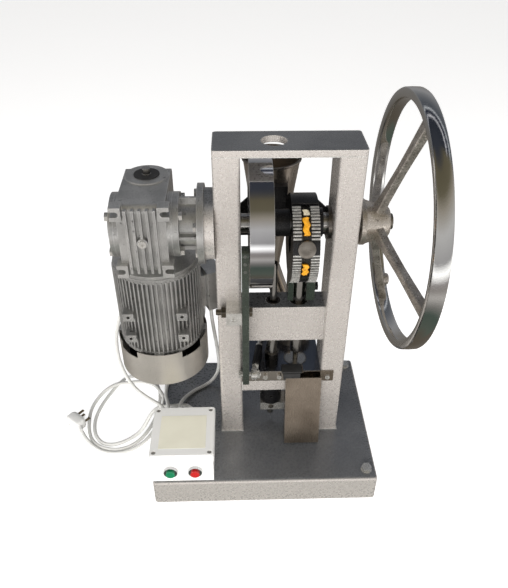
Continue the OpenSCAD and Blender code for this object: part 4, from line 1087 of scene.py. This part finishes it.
    def hopper_rim(self) -> None:
        """Turns the rolled rim round the hopper's mouth."""
        low, high = ends_of("hopper")
        radius = (high.x - low.x) / 2
        rim = Tools.turned(
            "hopper_rim",
            [(radius - 3.2, -3.6), (radius - 0.5, -3.6), (radius, -2.6), (radius, -0.8),
             (radius - 0.8, 0), (radius - 2.6, 0), (radius - 3.3, -0.8), (radius - 3.2, -3.6)],
            ((low.x + high.x) / 2, (low.y + high.y) / 2, high.z), Axis.Z, 96, tube=True,
        )
        self.add(rim, BLACK, "frame", "stainless")

    def build(self) -> None:
        """Models every small piece."""
        for step in (self.welds, self.table_front, self.pivot, self.link, self.yoke,
                     self.box_trim, self.hopper_rim):
            step()
        LOG.info("small pieces: %s", ", ".join(self.made))


# ---------------------------------------------------------------- studio


FRONT_ROOM = (
    (-1.0, (0.13, 0.11, 0.085)), (-0.93, (0.12, 0.14, 0.115)), (-0.80, (0.09, 0.12, 0.10)),
    (-0.70, (0.26, 0.25, 0.235)), (-0.58, (0.62, 0.59, 0.56)), (-0.48, (0.36, 0.33, 0.31)),
    (-0.40, (0.40, 0.37, 0.36)), (-0.25, (1.9, 1.88, 1.85)), (-0.10, (0.46, 0.45, 0.45)),
    (0.30, (0.62, 0.61, 0.60)), (0.60, (0.40, 0.36, 0.30)), (0.76, (0.17, 0.15, 0.10)),
    (0.92, (0.15, 0.13, 0.085)), (1.0, (0.05, 0.055, 0.07)),
)
BACK_ROOM = (
    (-1.0, (0.13, 0.11, 0.085)), (-0.2, (0.22, 0.21, 0.20)), (0.2, (0.34, 0.34, 0.35)),
    (0.55, (0.16, 0.17, 0.19)), (0.70, (0.10, 0.11, 0.13)), (0.735, (0.75, 0.78, 0.82)),
    (0.77, (0.035, 0.04, 0.06)), (0.82, (0.035, 0.04, 0.06)), (0.845, (0.9, 0.9, 0.95)),
    (0.87, (0.03, 0.035, 0.05)), (1.0, (0.05, 0.055, 0.07)),
)


@dataclass
class Studio:
    """The floor, the lights and the camera."""

    focal_px: float = 611.05
    image_px: tuple[int, int] = (508, 588)
    eye: Point = (-14.61, -829.26, 971.78)
    yaw: float = 0.0313
    pitch: float = 0.6357
    roll: float = 0.0043

    def camera(self) -> None:
        """Makes the camera that the scene is seen with."""
        data = bpy.data.cameras.new("camera")
        data.sensor_fit = "VERTICAL"
        data.sensor_height = 24.0
        data.lens = self.focal_px / self.image_px[1] * data.sensor_height
        data.clip_start, data.clip_end = 0.01, 50.0
        camera = bpy.data.objects.new("camera", data)
        bpy.context.collection.objects.link(camera)
        forward = Vector((
            math.sin(self.yaw) * math.cos(self.pitch),
            math.cos(self.yaw) * math.cos(self.pitch),
            -math.sin(self.pitch),
        ))
        right = Vector((math.cos(self.yaw), -math.sin(self.yaw), 0))
        up = right.cross(forward)
        tilted = math.cos(self.roll) * right + math.sin(self.roll) * up
        upward = -math.sin(self.roll) * right + math.cos(self.roll) * up
        turn = Matrix((tilted, upward, -forward)).transposed().to_4x4()
        camera.matrix_world = Matrix.Translation(Vector(self.eye) * MM) @ turn
        bpy.context.scene.camera = camera

    def area(self, name: str, at: Point, to: Point, size: tuple[float, float], power: float,
             colour: Point = (1, 1, 1), soft: bool = False) -> None:
        """Hangs a rectangular soft light at a place, aimed at a point, in metres."""
        data = bpy.data.lights.new(name, "AREA")
        data.shape, data.size, data.size_y = "RECTANGLE", *size
        data.energy, data.color = power, colour
        light = bpy.data.objects.new(name, data)
        bpy.context.collection.objects.link(light)
        light.visible_glossy = soft
        light.location = at
        light.rotation_euler = (Vector(to) - Vector(at)).to_track_quat("-Z", "Y").to_euler()

    @staticmethod
    def band(tree: Tree, value: Socket,
             stops: tuple[tuple[float, Point], ...]) -> Socket:
        """Returns a colour that runs through stops as value goes from -1 to 1."""
        ramp = tree.nodes.new("ShaderNodeValToRGB")
        tree.links.new(Finish._ramp(tree, value, -1.0, 1.0), ramp.inputs["Fac"])
        for index, (height, colour) in enumerate(stops):
            elements = ramp.color_ramp.elements
            stop = elements[index] if index < 2 else elements.new((height + 1) / 2)
            stop.position = (height + 1) / 2
            stop.color = (*colour, 1)
        return ramp.outputs["Color"]

    def world(self) -> None:
        """Sets the room: a bright floor in front, grey walls and a dark ceiling with lamps."""
        world = bpy.data.worlds.new("room")
        bpy.context.scene.world = world
        world.use_nodes = True
        tree = world.node_tree
        shade = tree.nodes["Background"]
        shade.inputs["Strength"].default_value = 1.0
        split = Finish._node(tree, "SeparateXYZ",
                             Vector=Finish._node(tree, "TexCoord", "Generated")).node
        front = self.band(tree, split.outputs["Z"], FRONT_ROOM)
        back = self.band(tree, split.outputs["Z"], BACK_ROOM)
        behind = Finish._ramp(tree, split.outputs["Y"], -0.06, 0.06)
        tree.links.new(Finish._mix(tree, behind, front, back), shade.inputs["Color"])

    def build(self) -> None:
        """Lays the floor and hangs the lights."""
        Tools.fresh()
        bpy.ops.mesh.primitive_plane_add(size=14, location=(0, 0, -0.0005))
        floor = bpy.context.object
        floor.name = "floor"
        floor.visible_glossy = False
        Tools.dress(floor, FLOOR)
        self.world()
        bpy.context.scene.view_settings.view_transform = "Standard"
        target = (0.0, 0.0, 0.30)
        self.area("front_light", (-0.5, -2.6, 0.95), target, (2.0, 1.0), 62, (1.0, 0.985, 0.96))
        self.area("left_light", (-2.2, -0.9, 1.1), target, (0.8, 1.4), 12)
        self.area("right_light", (2.1, -1.1, 1.0), target, (0.6, 1.4), 14)
        self.area("top_light", (0.2, -0.5, 2.7), target, (1.2, 0.9), 20)
        LOG.info("studio set")


def dress_frame(nodes: dict[str, Piece]) -> None:
    """Gives every CAD node its finish.

    Args:
        nodes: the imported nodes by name.
    """
    for finish, names in DRESS.items():
        for name in names:
            Tools.dress(nodes[name], finish)
            LOG.info("%s dressed as %s", name, finish.name)


def main() -> None:
    """Builds the visual model round the frame."""
    logging.basicConfig(level=logging.INFO, format="%(message)s")
    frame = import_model()
    studio = Studio()
    studio.camera()
    dress_frame(frame["nodes"])
    Cables().build()
    HandWheel().build()
    PunchRing().build()
    Trim().build()
    studio.build()


if __name__ == "__main__":
    main()
